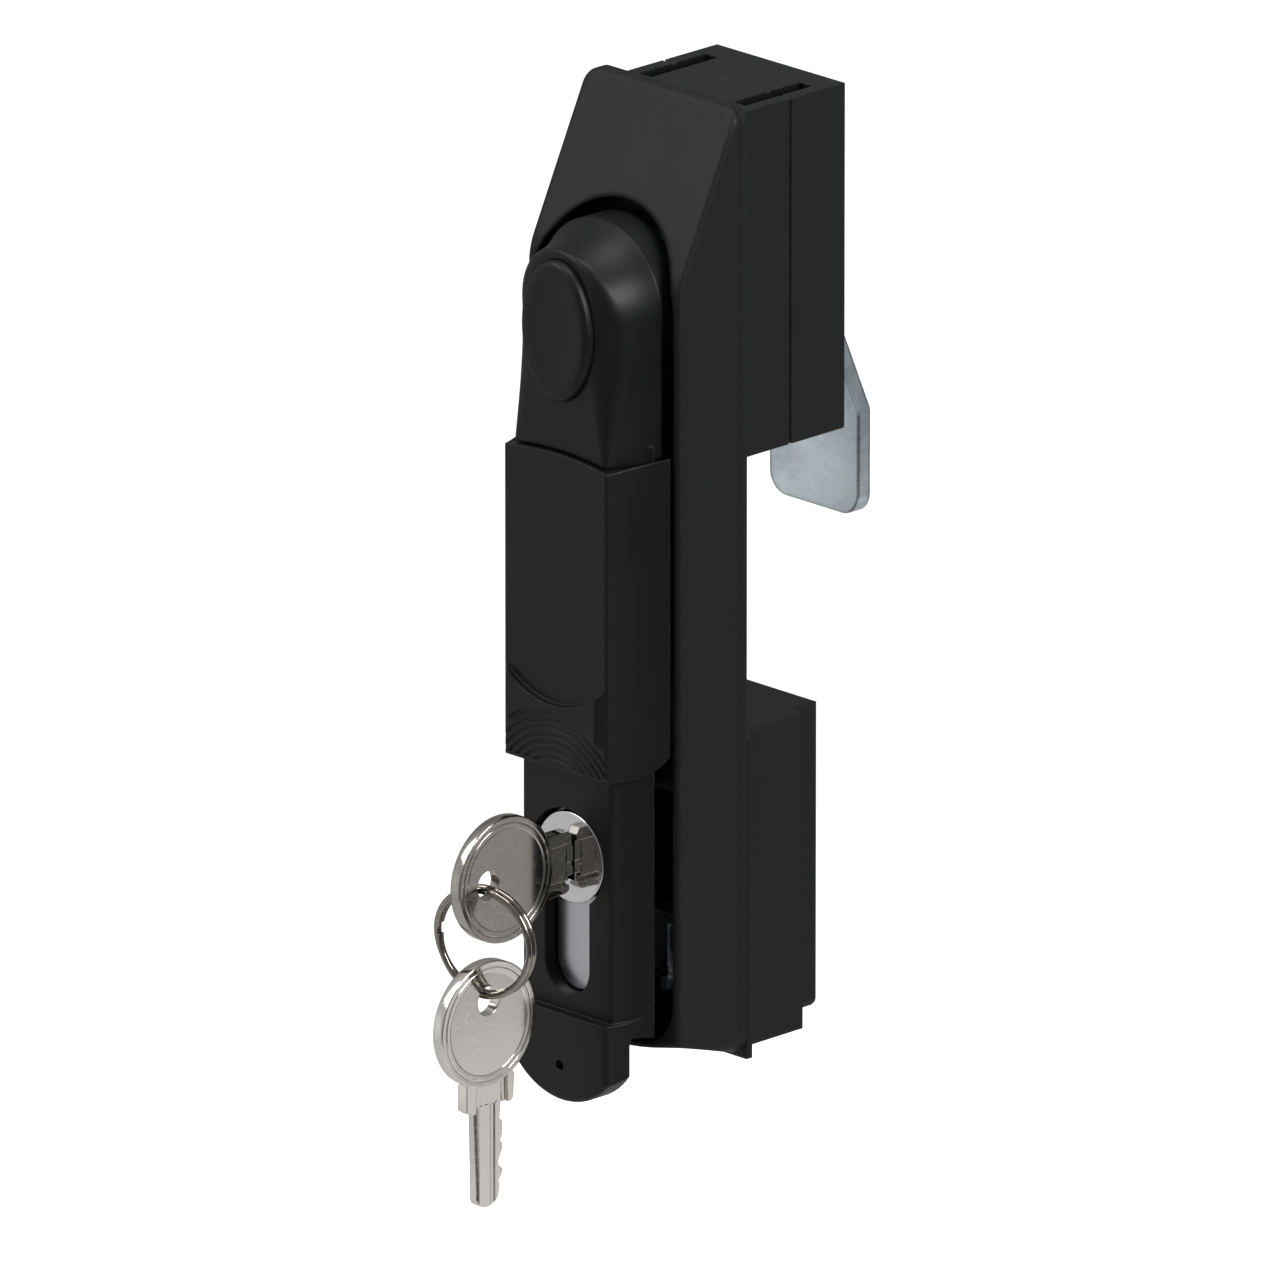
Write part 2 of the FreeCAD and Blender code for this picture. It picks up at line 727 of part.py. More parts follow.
def add_cheeks(body):
    """The clevis in the head: a slot for the spindle's lug between two round cheeks."""
    room_z = lug_r + 0.4
    slot = block((-head_cavity_half, head_cavity_half), (spring_back_y, skirt_y + 5),
                 (-room_z, room_z))
    pocket = block((-head_cavity_half, head_cavity_half), (spring_front_y, spring_back_y + 0.01),
                   (-spring_half_z - 0.3, spring_half_z + 0.3))
    body = body.cut(slot).cut(pocket)
    cheek_x = (head_cavity_half, head_back_half - skirt_wall + 0.3)
    for side in (-1, 1):
        span = sorted(side * value for value in cheek_x)
        eye = bar_x(cheek_r, span, pin_y, 0)
        web = block(span, (handle_back_y - 1, pin_y), (-cheek_r, cheek_r))
        body = body.fuse([eye, web])
    return body.cut(bar_x(pin_r, (-pin_half, pin_half), pin_y, 0))


def lock_seat(body):
    """The keyhole-shaped opening with its collar, screw bosses and hook pin hole."""
    collar = lock_profile(lock_circle_r + lock_gap + collar_wall,
                          lock_web_half + lock_gap + collar_wall,
                          lock_web_end + lock_gap + collar_wall,
                          (rail_front_y + handle_wall - 0.1, lock_back_y))
    body = body.fuse(collar.common(rail_room((ledge_z, lock_z + 13.5))))
    for x, z in lock_screw_place:
        body = body.fuse(bar_y(lock_screw_head_r + 0.3,
                               (rail_front_y + handle_wall - 0.1, lock_back_y), x, z))
    hole = lock_profile(lock_circle_r + lock_gap, lock_web_half + lock_gap,
                        lock_web_end + lock_gap, (rail_front_y - 5, handle_back_y + 1))
    body = body.cut(hole)
    for x, z in lock_screw_place:
        body = body.cut(bar_y(lock_screw_r, (rail_front_y + handle_wall + 0.2, 0), x, z))
    ear = block((hook_x[1] + 0.25, hook_x[1] + 1.6), (rail_front_y + handle_wall - 0.1, -19.6),
                (hook_pin_z - 2.0, hook_pin_z + 2.0))
    body = body.fuse(ear)
    body = body.cut(bar_x(hook_pin_r, hook_pin_span(), hook_pin_y, hook_pin_z))
    body = body.cut(bar_y(chin_hole_r, (head_front_y - 1, head_front_y + 6), z=chin_hole_z))
    cap_hole = cap_body((head_front_y - 1, head_front_y + cap_seat), cap_fit)
    return body.cut(cap_hole)


def hook_pin_span():
    return (lock_web_half + lock_gap + 0.15, hook_x[1] + 1.2)


def cap_body(y, grow=0.0):
    """An upright oval slab."""
    oval = Part.Ellipse(V(0, 0, 0), cap_half_z + grow, cap_half_x + grow).toShape()
    oval.rotate(V(0, 0, 0), Z_AXIS, 90)
    oval.rotate(V(0, 0, 0), X_AXIS, 90)
    oval.translate(V(0, y[0], cap_z))
    return Part.Face(Part.Wire([oval])).extrude(V(0, y[1] - y[0], 0))


def make_head_cap():
    top_y = head_front_y - cap_proud
    cap = cap_body((top_y, head_front_y + cap_seat))
    cap = round_edges(cap, cap_edge_r, lambda edge: near(edge.BoundBox.YMax, top_y))
    dish_half = cap_half_x - cap_edge_r - cap_rim
    dish_r = (dish_half ** 2 + cap_dish ** 2) / (2 * cap_dish)
    dish = Part.makeSphere(dish_r, V(0, top_y + cap_dish - dish_r, cap_z))
    return cap.cut(dish)


def make_hinge_pin():
    return bar_x(pin_r, (-pin_half, pin_half), pin_y, 0)


def make_lift_spring():
    """A flat leaf under the lug that holds the handle down or up."""
    return block((-spring_half_x, spring_half_x), (spring_front_y, spring_back_y),
                 (-spring_half_z, spring_half_z))


def make_cover():
    z = (cover_bottom_z - ledge_rise, cover_top_z + 2)
    body = flared_bar(cover_front_y, cover_front_half, handle_back_y, cover_back_half, z)
    body = round_edges(body, cover_edge_r, lambda edge: along(edge, Z_AXIS)
                       and near(edge.CenterOfMass.y, cover_front_y))
    body = body.common(ledge_block(cover_bottom_z, False)).common(cover_top())
    body = body.fuse(thumb_ridge()).cut(thumb_grooves())
    long_z = (cover_bottom_z - 5, cover_top_z + 5)
    room = flared_bar(rail_front_y - cover_gap, rail_front_half + cover_gap,
                      rail_back_y + cover_gap, rail_back_half + cover_gap, long_z)
    gate_half = rail_back_half - lip_reach
    gate = block((-gate_half, gate_half), (rail_back_y, handle_back_y + 2), long_z)
    body = body.cut(room).cut(gate)
    body = body.cut(block((-detent_half_x - 0.2, detent_half_x + 0.2),
                          (rail_front_y - cover_gap - detent_thick - 0.3, rail_front_y),
                          (detent_z[0] - 0.3, detent_z[1] + 0.3)))
    return body.removeSplitter()


def cover_top():
    """Everything under the cover's arched upper edge."""
    half, wide = cover_front_half, cover_back_half + 2
    low, back = cover_bottom_z - 20, cover_front_y - 5
    side_z = cover_top_z - cover_top_arch
    rear_z = side_z + cover_rear_rise
    wire = Part.Wire([
        arc(V(-half, back, side_z), V(0, back, cover_top_z), V(half, back, side_z)),
        line(V(half, back, side_z), V(wide, back, rear_z)),
        line(V(wide, back, rear_z), V(wide, back, low)),
        line(V(wide, back, low), V(-wide, back, low)),
        line(V(-wide, back, low), V(-wide, back, rear_z)),
        line(V(-wide, back, rear_z), V(-half, back, side_z)),
    ])
    return Part.Face(wire).extrude(V(0, 40, 0))


def thumb_ridge():
    """A proud ridge for the thumb, narrow in the middle, between two round walls."""
    top_y = cover_front_y - grip_rise
    sunk_y = cover_front_y + crisp_r
    ridge = plate_from([
        V(-cover_front_half, sunk_y, grip_z[0]), V(-grip_top_half, top_y, grip_z[0]),
        V(grip_top_half, top_y, grip_z[0]), V(cover_front_half, sunk_y, grip_z[0]),
    ], V(0, 0, grip_z[1] - grip_z[0]))
    over = (top_y, sunk_y)
    upper = cone_y(grip_upper_r + grip_draft, grip_upper_r, over, z=grip_upper_z + grip_upper_r)
    lower = cone_y(grip_lower_r + grip_draft, grip_lower_r, over, z=grip_lower_z - grip_lower_r)
    return ridge.cut(upper).cut(lower)


def thumb_grooves():
    """Fine round grooves in the pad below the ridge, all about one centre."""
    centre_z = grip_lower_z - grip_lower_r
    y = (cover_front_y - 1, cover_front_y + grip_rib_deep)
    pad = block((-base_width, base_width), y, (cover_bottom_z + crisp_r, grip_lower_z))
    grooves = []
    for rib in range(grip_ribs):
        radius = grip_lower_r - (rib + 1) * grip_rib_pitch
        ring = bar_y(radius, y, z=centre_z).cut(bar_y(radius - grip_rib_pitch / 2, y, z=centre_z))
        grooves.append(ring.common(pad))
    return grooves


def make_detent_spring():
    """A leaf in the cover whose round bump drops into the rail."""
    back_y = rail_front_y - cover_gap
    leaf = block((-detent_half_x, detent_half_x), (back_y - detent_thick, back_y), detent_z)
    return leaf


def make_lock_body():
    """The nickel lock case with its keyhole outline and fixing plate."""
    case = lock_profile(lock_circle_r, lock_web_half, lock_web_end, (lock_face_y, lock_back_y))
    plate_y = (lock_back_y, lock_back_y + lock_plate_thick)
    low_z, high_z = (lock_z - drop for drop in lock_plate_drop)
    tab_z = (lock_z, lock_screw_place[1][1] + lock_screw_head_r + 0.2)
    plate = join(block((-lock_plate_half, lock_web_half), plate_y, (low_z, high_z)),
                 bar_y(lock_circle_r, plate_y, z=lock_z),
                 block((-lock_tab_half, lock_tab_half), plate_y, tab_z))
    body = join(case, plate)
    body = body.cut(bar_y(plug_stem_r + running_gap, (lock_face_y - 1, 0), z=lock_z))
    for x, z in lock_screw_place:
        body = body.cut(bar_y(lock_screw_r + 0.1, (lock_face_y - 1, 0), x, z))
    return body


def make_lock_screws():
    screws = []
    seat = lock_back_y + lock_plate_thick
    for x, z in lock_screw_place:
        shank = bar_y(lock_screw_r - running_gap, (rail_front_y + handle_wall + 0.4, seat), x, z)
        head = bar_y(lock_screw_head_r, (seat, seat + lock_screw_head_high), x, z)
        screws.append(join(shank, head))
    return Part.makeCompound(screws)


def make_plug():
    """The turning core of the lock: a polished cap, a stem and the key slot."""
    cap = bar_y(plug_cap_r, (plug_face_y, plug_face_y + plug_cap_thick), z=lock_z)
    cap = cap.makeFillet(0.35, [edge for edge in cap.Edges
                                if near(edge.CenterOfMass.y, plug_face_y)])
    stem = bar_y(plug_stem_r, (plug_face_y + plug_cap_thick - 0.1, plug_end_y), z=lock_z)
    slot_x = key_blade_thick / 2 + key_slot_gap
    slot_z = key_blade_half + key_slot_gap
    slot = block((-slot_x, slot_x), (plug_face_y - 1, plug_end_y + 1),
                 (lock_z - slot_z, lock_z + slot_z))
    return join(cap, stem).cut(slot)


def make_plug_driver():
    """The disc on the back of the plug, with the finger that moves the hook."""
    y = (plug_end_y, plug_end_y + driver_thick)
    return join(bar_y(driver_r, y, z=lock_z),
                block((-1.5, 1.5), y, (lock_z - driver_r - 1.0, lock_z)))


def make_hook():
    """The catch, folded up beside the lock. It turns on its pin and drops behind the keeper."""
    eye = bar_x(hook_eye_r, hook_x, hook_pin_y, hook_pin_z)
    arm = block(hook_x, (hook_pin_y - hook_arm_half, hook_pin_y + hook_arm_half),
                (hook_pin_z, hook_pin_z + hook_reach))
    toe = block(hook_x, (hook_pin_y - hook_arm_half, hook_pin_y + hook_toe_drop),
                (hook_pin_z + hook_reach - hook_toe_long, hook_pin_z + hook_reach))
    body = join(eye, arm, toe)
    return body.cut(bar_x(hook_pin_r + running_gap, (hook_x[0] - 1, hook_x[1] + 1),
                          hook_pin_y, hook_pin_z))


def make_hook_pin():
    return bar_x(hook_pin_r, hook_pin_span(), hook_pin_y, hook_pin_z)


def key_at_origin(blade_long):
    """A flat key in the YZ plane: round bow at the origin, blade along +Y, cuts below."""
    half = key_thick / 2
    bow = bar_x(key_bow_r, (-half, half), 0, 0)
    sunk = key_rim_high
    for side in (-1, 1):
        span = sorted((side * (half - sunk), side * (half + 1)))
        bow = bow.cut(bar_x(key_bow_r - key_rim_wide, span, 0, 0))
    start = math.sqrt(key_bow_r ** 2 - key_shoulder_half ** 2) - 0.5
    shoulder_end = key_bow_r + key_shoulder_long
    shoulder = block((-half, half), (start, shoulder_end),
                     (-key_shoulder_half, key_shoulder_half))
    tip_y = shoulder_end + blade_long
    taper = min(key_tip_long, blade_long / 3)
    thin = key_blade_thick / 2
    blade = plate_from([
        V(-thin, shoulder_end - 1, -key_blade_half), V(-thin, tip_y - taper, -key_blade_half),
        V(-thin, tip_y, -key_blade_half * 0.4), V(-thin, tip_y, key_blade_half * 0.5),
        V(-thin, tip_y - taper * 0.6, key_blade_half), V(-thin, shoulder_end - 1, key_blade_half),
    ], V(key_blade_thick, 0, 0))
    for place, deep in key_cuts:
        y = shoulder_end + place * key_blade_long
        if y + key_cut_half + deep > tip_y:
            continue
        blade = blade.cut(plate_from([
            V(-2, y - key_cut_half - deep, -key_blade_half - 0.01),
            V(-2, y - key_cut_half, -key_blade_half + deep),
            V(-2, y + key_cut_half, -key_blade_half + deep),
            V(-2, y + key_cut_half + deep, -key_blade_half - 0.01),
        ], V(4, 0, 0)))
    body = join(bow, shoulder, blade)
    return body.cut(bar_x(key_hole_r, (-3, 3), -key_hole_out, 0))


def make_inserted_key():
    key = key_at_origin(key_blade_seated)
    key.translate(V(0, key_bow_y, lock_z))
    return key


def make_spare_key():
    key = key_at_origin(key_blade_long)
    key.rotate(V(0, 0, 0), X_AXIS, -90)
    key.rotate(V(0, 0, 0), Z_AXIS, 180)
    key.translate(V(0, key_ring_y, spare_bow_z))
    return key


def make_key_ring():
    """Two turns of spring wire side by side."""
    section = Part.Wire([
        arc(V(ring_mean_r - ring_wire_r, -ring_wire_r, 0),
            V(ring_mean_r, -2 * ring_wire_r, 0),
            V(ring_mean_r + ring_wire_r, -ring_wire_r, 0)),
        line(V(ring_mean_r + ring_wire_r, -ring_wire_r, 0),
             V(ring_mean_r + ring_wire_r, ring_wire_r, 0)),
        arc(V(ring_mean_r + ring_wire_r, ring_wire_r, 0),
            V(ring_mean_r, 2 * ring_wire_r, 0),
            V(ring_mean_r - ring_wire_r, ring_wire_r, 0)),
        line(V(ring_mean_r - ring_wire_r, ring_wire_r, 0),
             V(ring_mean_r - ring_wire_r, -ring_wire_r, 0)),
    ])
    ring = Part.Face(section).revolve(V(0, 0, 0), Y_AXIS, 360)
    ring.translate(V(0, key_ring_y, ring_middle_z))
    return ring


def make_screws(places, back_y):
    seat = back_y - screw_recess - screw_head_high
    return Part.makeCompound([long_screw(z, seat) for z in places])


pieces = {
    "base": make_base,
    "gasket": make_gasket,
    "thread_inserts": make_inserts,
    "gearbox_front_shell": make_gearbox_front,
    "gearbox_rear_shell": make_gearbox_rear,
    "gearbox_screws": lambda: make_screws(gearbox_screw_z, box_back_y),
    "lower_housing": make_lower_housing,
    "housing_screws": lambda: make_screws(housing_screw_z, lower_back_y),
    "spindle_bush": make_bush,
    "keeper": make_keeper,
    "spindle": make_spindle,
    "drive_gear": make_gear,
    "cam": make_cam,
    "cam_washer": make_cam_washer,
    "cam_screw": make_cam_screw,
    "handle": make_handle,
    "head_cap": make_head_cap,
    "hinge_pin": make_hinge_pin,
    "lift_spring": make_lift_spring,
    "lock_body": make_lock_body,
    "lock_screws": make_lock_screws,
    "hook_pin": make_hook_pin,
    "lock_plug": make_plug,
    "plug_driver": make_plug_driver,
    "lock_hook": make_hook,
    "sliding_cover": make_cover,
    "detent_spring": make_detent_spring,
    "inserted_key": make_inserted_key,
    "key_ring": make_key_ring,
    "spare_key": make_spare_key,
}

os.makedirs("parts", exist_ok=True)
for name, make in pieces.items():
    shape = make()
    shape.exportStep("parts/" + name + ".step")
    print(name, "solids", len(shape.Solids), "valid", shape.isValid(),
          "volume", round(shape.Volume, 1))
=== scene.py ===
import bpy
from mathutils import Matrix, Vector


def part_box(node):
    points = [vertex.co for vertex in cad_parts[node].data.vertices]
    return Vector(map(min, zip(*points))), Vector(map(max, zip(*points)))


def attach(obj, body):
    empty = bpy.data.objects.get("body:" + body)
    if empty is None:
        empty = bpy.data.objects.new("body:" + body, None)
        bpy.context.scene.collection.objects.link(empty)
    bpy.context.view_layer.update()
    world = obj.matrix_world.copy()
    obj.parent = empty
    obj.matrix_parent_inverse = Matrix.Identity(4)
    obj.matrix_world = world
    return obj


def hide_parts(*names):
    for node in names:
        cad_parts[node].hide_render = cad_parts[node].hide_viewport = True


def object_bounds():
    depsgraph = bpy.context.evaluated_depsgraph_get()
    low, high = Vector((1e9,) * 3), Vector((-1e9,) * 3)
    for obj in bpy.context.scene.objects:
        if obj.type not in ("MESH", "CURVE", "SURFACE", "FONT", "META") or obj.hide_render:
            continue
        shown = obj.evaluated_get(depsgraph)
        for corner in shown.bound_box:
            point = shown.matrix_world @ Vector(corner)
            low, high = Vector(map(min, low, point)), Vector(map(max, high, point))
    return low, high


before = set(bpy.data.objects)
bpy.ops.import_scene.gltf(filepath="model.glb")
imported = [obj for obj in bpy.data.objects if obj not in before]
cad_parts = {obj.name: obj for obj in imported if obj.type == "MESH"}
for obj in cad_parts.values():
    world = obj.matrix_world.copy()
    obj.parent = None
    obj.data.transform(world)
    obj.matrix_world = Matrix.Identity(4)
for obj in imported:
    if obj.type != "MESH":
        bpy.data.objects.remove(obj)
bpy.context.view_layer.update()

# %% [markdown]
# # A swing handle for a cabinet door
# The object is a black lever that lies in a long base plate. Pull its lower end out, swing
# it, and it turns a gearbox and a steel cam behind the door. A cover slides over the lock.
# One flat key is in the lock, and a second hangs from it on a split ring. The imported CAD
# bodies give the overall sizes. This script dresses them: it rebuilds the keys, the wire
# ring and the oval cap as finer meshes, gives every surface its finish, and sets up a plain
# studio.

# %% Tools
import math

import bmesh
import bpy
from mathutils import Matrix, Vector

MM = 0.001
MICRON = 0.000001


def say(title, value):
    print(title + ":", value)


low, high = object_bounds()
say("overall size in mm", [round((b - a) / MM, 1) for a, b in zip(low, high)])

# %% [markdown]
# ## Helpers for shader trees
# A material in Blender is a small graph. A few helpers keep the graphs readable. They add a
# node and set its plain inputs, join two sockets, stretch a range of values, and start a
# node group with named inputs and outputs, so that one effect can serve many materials.

# %% Graph helpers
FLOAT, VECTOR = "NodeSocketFloat", "NodeSocketVector"
COLOUR_A, COLOUR_B, COLOUR_OUT = 6, 7, 2
SHEET_STEP = 200


def set_inputs(node, values):
    for name, value in values.items():
        node.inputs[name.replace("_", " ")].default_value = value


def add_node(tree, kind, place, **inputs):
    """A node at a place on the sheet, with its inputs set by their socket names."""
    node = tree.nodes.new(kind)
    node.location = (place[0] * SHEET_STEP, place[1] * SHEET_STEP)
    set_inputs(node, inputs)
    return node


def place_group(tree, group, place, **inputs):
    """A node group placed in a material, with its own values."""
    node = add_node(tree, "ShaderNodeGroup", place)
    node.node_tree = group
    set_inputs(node, inputs)
    return node


def wire(tree, source, output, target, socket):
    tree.links.new(source.outputs[output], target.inputs[socket])


def maths(tree, operation, place, kind="ShaderNodeMath"):
    node = add_node(tree, kind, place)
    node.operation = operation
    return node


def stretch_range(tree, place, from_low, from_high, to_low=0.0, to_high=1.0):
    """Maps one range of values to another and clamps what lies outside."""
    return add_node(tree, "ShaderNodeMapRange", place, From_Min=from_low, From_Max=from_high,
                    To_Min=to_low, To_Max=to_high)


def colour_mix(tree, place):
    """A mix of two colours. Its colour sockets share names with others, so they go by number."""
    node = add_node(tree, "ShaderNodeMix", place)
    node.data_type = "RGBA"
    return node


def opaque(colour, factor=1.0):
    return [channel * factor for channel in colour] + [1.0]


def start_group(name, inputs, outputs):
    """An empty node group. inputs holds (name, default) rows and outputs (name, kind) rows."""
    tree = bpy.data.node_groups.new(name, "ShaderNodeTree")
    for label, default in inputs:
        socket = tree.interface.new_socket(label, in_out="INPUT", socket_type=FLOAT)
        socket.default_value = default
    for label, kind in outputs:
        tree.interface.new_socket(label, in_out="OUTPUT", socket_type=kind)
    start = add_node(tree, "NodeGroupInput", (-3, 0))
    end = add_node(tree, "NodeGroupOutput", (7, 0))
    return tree, start, end


# %% [markdown]
# ## Moulded grain
# Black plastic mouldings come out of a spark-eroded steel mould, which leaves a very fine,
# even grain. It is finer than a fifth of a millimetre, so it hardly shows as bumps, but it
# breaks up the highlights. Two layers of noise make it: the grain, and a broad cloudiness
# that changes the gloss from place to place. A texture image would need UVs, and noise in
# object space needs none.

# %% Grain group
noise_middle = 0.5


def build_grain():
    tree, start, end = start_group(
        "Moulded grain",
        [("Grain per metre", 5000.0), ("Cloud per metre", 60.0), ("Roughness", 0.5),
         ("Roughness spread", 0.1)],
        [("Height", FLOAT), ("Roughness", FLOAT), ("Cloud", FLOAT)])
    place = add_node(tree, "ShaderNodeTexCoord", (-2, 0))
    grain = add_node(tree, "ShaderNodeTexNoise", (-1, 1), Detail=2.0, Roughness=0.6)
    cloud = add_node(tree, "ShaderNodeTexNoise", (-1, -1), Detail=3.0, Roughness=0.55)
    for noise in (grain, cloud):
        wire(tree, place, "Object", noise, "Vector")
    wire(tree, start, "Grain per metre", grain, "Scale")
    wire(tree, start, "Cloud per metre", cloud, "Scale")
    centred = maths(tree, "SUBTRACT", (0, -1))
    centred.inputs[1].default_value = noise_middle
    wire(tree, cloud, 0, centred, 0)
    level = maths(tree, "MULTIPLY_ADD", (1, -1))
    wire(tree, centred, 0, level, 0)
    wire(tree, start, "Roughness spread", level, 1)
    wire(tree, start, "Roughness", level, 2)
    wire(tree, grain, 0, end, "Height")
    wire(tree, level, 0, end, "Roughness")
    wire(tree, cloud, 0, end, "Cloud")
    return tree


moulded_grain = build_grain()
say("effect built", moulded_grain.name)

# %% [markdown]
# ## Soft edges and rubbed edges
# No moulded or plated edge is a knife edge. The Bevel node bends the shading normal near an
# edge, so that it catches a thin line of light. The angle between the bent normal and the
# true one tells how close an edge is, and that doubles as a mask for wear: fingers polish
# the edges first. A patchy noise keeps the wear from being an even line.

# %% Edge group
cosine_off_edge, cosine_on_edge = 0.995, 0.86
patch_low, patch_high = 0.35, 0.65


def build_edges():
    tree, start, end = start_group(
        "Soft edges",
        [("Radius", 0.3 * MM), ("Wear", 0.5), ("Patch per metre", 250.0)],
        [("Normal", VECTOR), ("Edge", FLOAT)])
    bevel = add_node(tree, "ShaderNodeBevel", (-1, 1))
    bevel.samples = 6
    wire(tree, start, "Radius", bevel, "Radius")
    true_normal = add_node(tree, "ShaderNodeNewGeometry", (-1, 0))
    same = maths(tree, "DOT_PRODUCT", (0, 0), "ShaderNodeVectorMath")
    wire(tree, bevel, "Normal", same, 0)
    wire(tree, true_normal, "Normal", same, 1)
    edge = stretch_range(tree, (1, 0), cosine_off_edge, cosine_on_edge)
    wire(tree, same, "Value", edge, "Value")
    place = add_node(tree, "ShaderNodeTexCoord", (-2, -1))
    patch = add_node(tree, "ShaderNodeTexNoise", (-1, -1), Detail=4.0, Roughness=0.65)
    wire(tree, place, "Object", patch, "Vector")
    wire(tree, start, "Patch per metre", patch, "Scale")
    uneven = stretch_range(tree, (0, -1), patch_low, patch_high)
    wire(tree, patch, 0, uneven, "Value")
    worn = maths(tree, "MULTIPLY", (2, -1))
    wire(tree, edge, "Result", worn, 0)
    wire(tree, uneven, "Result", worn, 1)
    strength = maths(tree, "MULTIPLY", (3, -1))
    strength.use_clamp = True
    wire(tree, worn, 0, strength, 0)
    wire(tree, start, "Wear", strength, 1)
    wire(tree, bevel, "Normal", end, "Normal")
    wire(tree, strength, 0, end, "Edge")
    return tree


soft_edges = build_edges()
say("effect built", soft_edges.name)

# %% [markdown]
# ## Fine scratches
# Keys rub on each other in a pocket. The marks are short, thin and lie at all angles. One
# stretched noise gives scratches in one direction, so the group leans it two ways and keeps
# the sharpest ridges of both.

# %% Scratch group
scratch_leans = ((0.5, 0.2, 0.4), (-0.7, 0.5, 0.1))
ridge_low, ridge_high = 0.64, 0.72


def build_scratches():
    tree, start, end = start_group(
        "Fine scratches", [("Scratch per metre", 350.0), ("Stretch", 14.0)],
        [("Scratch", FLOAT)])
    place = add_node(tree, "ShaderNodeTexCoord", (-3, 0))
    both = maths(tree, "MAXIMUM", (2, 0))
    for step, turn in enumerate(scratch_leans):
        lean = add_node(tree, "ShaderNodeMapping", (-2, step), Rotation=turn)
        wire(tree, place, "Object", lean, "Vector")
        squeeze = add_node(tree, "ShaderNodeCombineXYZ", (-2, step + 2), X=1.0, Y=1.0)
        wire(tree, start, "Stretch", squeeze, "Z")
        stretch = maths(tree, "MULTIPLY", (-1, step), "ShaderNodeVectorMath")
        wire(tree, lean, "Vector", stretch, 0)
        wire(tree, squeeze, 0, stretch, 1)
        noise = add_node(tree, "ShaderNodeTexNoise", (0, step), Detail=1.0)
        wire(tree, stretch, 0, noise, "Vector")
        wire(tree, start, "Scratch per metre", noise, "Scale")
        ridge = stretch_range(tree, (1, step), ridge_low, ridge_high)
        wire(tree, noise, 0, ridge, "Value")
        wire(tree, ridge, "Result", both, step)
    wire(tree, both, 0, end, "Scratch")
    return tree


fine_scratches = build_scratches()
say("effect built", fine_scratches.name)

# %% [markdown]
# ## Zinc crystals
# The cam is cut from sheet, bent and zinc plated. The bath leaves a cool grey with cloudy
# lighter and darker patches of a few millimetres, and a faint crystal pattern inside them.
# A noise gives the clouds and a Voronoi texture the crystals.

# %% Zinc group
cloud_low, cloud_high = 0.33, 0.68


def build_zinc():
    tree, start, end = start_group(
        "Zinc crystals",
        [("Cloud per metre", 55.0), ("Crystal per metre", 900.0), ("Crystal share", 0.16)],
        [("Mottle", FLOAT)])
    place = add_node(tree, "ShaderNodeTexCoord", (-2, 0))
    cloud = add_node(tree, "ShaderNodeTexNoise", (-1, 1), Detail=5.0, Roughness=0.62,
                     Distortion=0.6)
    crystal = add_node(tree, "ShaderNodeTexVoronoi", (-1, -1))
    wire(tree, place, "Object", cloud, "Vector")
    wire(tree, place, "Object", crystal, "Vector")
    wire(tree, start, "Cloud per metre", cloud, "Scale")
    wire(tree, start, "Crystal per metre", crystal, "Scale")
    clear = stretch_range(tree, (0, 1), cloud_low, cloud_high)
    wire(tree, cloud, 0, clear, "Value")
    grey = add_node(tree, "ShaderNodeRGBToBW", (0, -1))
    wire(tree, crystal, "Color", grey, 0)
    mixed = add_node(tree, "ShaderNodeMix", (1, 0))
    wire(tree, start, "Crystal share", mixed, "Factor")
    wire(tree, clear, "Result", mixed, "A")
    wire(tree, grey, 0, mixed, "B")
    wire(tree, mixed, "Result", end, "Mottle")
    return tree


zinc_crystals = build_zinc()
say("effect built", zinc_crystals.name)

# %% [markdown]
# ## Black mouldings
# Handle, cover, base and boxes are one glass-filled nylon, dyed black. Its diffuse colour
# is only about half a per cent, and what the eye sees is mostly the sheen of the
# surroundings. The recipe takes the grain, the soft edges and a little wear, and differs
# from part to part in gloss and in how round its edges are. The base has the roundest.

# %% Moulded material
plastic_specular = 0.26
grain_deep, grain_strength = 9 * MICRON, 0.35
cloud_darker, cloud_lighter = 0.85, 1.15


def new_material(name):
    material = bpy.data.materials.new(name)
    material.use_nodes = True
    return material, material.node_tree, material.node_tree.nodes["Principled BSDF"]


def moulded(name, colour, worn_colour, roughness, spread, edge_mm, wear):
    """A black moulding. spread is how far its roughness wanders, and wear how rubbed it is."""
    material, tree, shader = new_material(name)
    shader.inputs["Specular IOR Level"].default_value = plastic_specular
    grain = place_group(tree, moulded_grain, (-4, 0), Roughness=roughness,
                        Roughness_spread=spread)
    edges = place_group(tree, soft_edges, (-4, -2), Radius=edge_mm * MM, Wear=wear)
    bump = add_node(tree, "ShaderNodeBump", (-2, -1), Strength=grain_strength,
                    Distance=grain_deep)
    wire(tree, grain, "Height", bump, "Height")
    wire(tree, edges, "Normal", bump, "Normal")
    wire(tree, bump, "Normal", shader, "Normal")
    wire(tree, grain, "Roughness", shader, "Roughness")
    clouded = colour_mix(tree, (-3, 2))
    clouded.inputs[COLOUR_A].default_value = opaque(colour, cloud_darker)
    clouded.inputs[COLOUR_B].default_value = opaque(colour, cloud_lighter)
    wire(tree, grain, "Cloud", clouded, 0)
    rubbed = colour_mix(tree, (-2, 2))
    rubbed.inputs[COLOUR_B].default_value = opaque(worn_colour)
    wire(tree, edges, "Edge", rubbed, 0)
    wire(tree, clouded, COLOUR_OUT, rubbed, COLOUR_A)
    wire(tree, rubbed, COLOUR_OUT, shader, "Base Color")
    return material


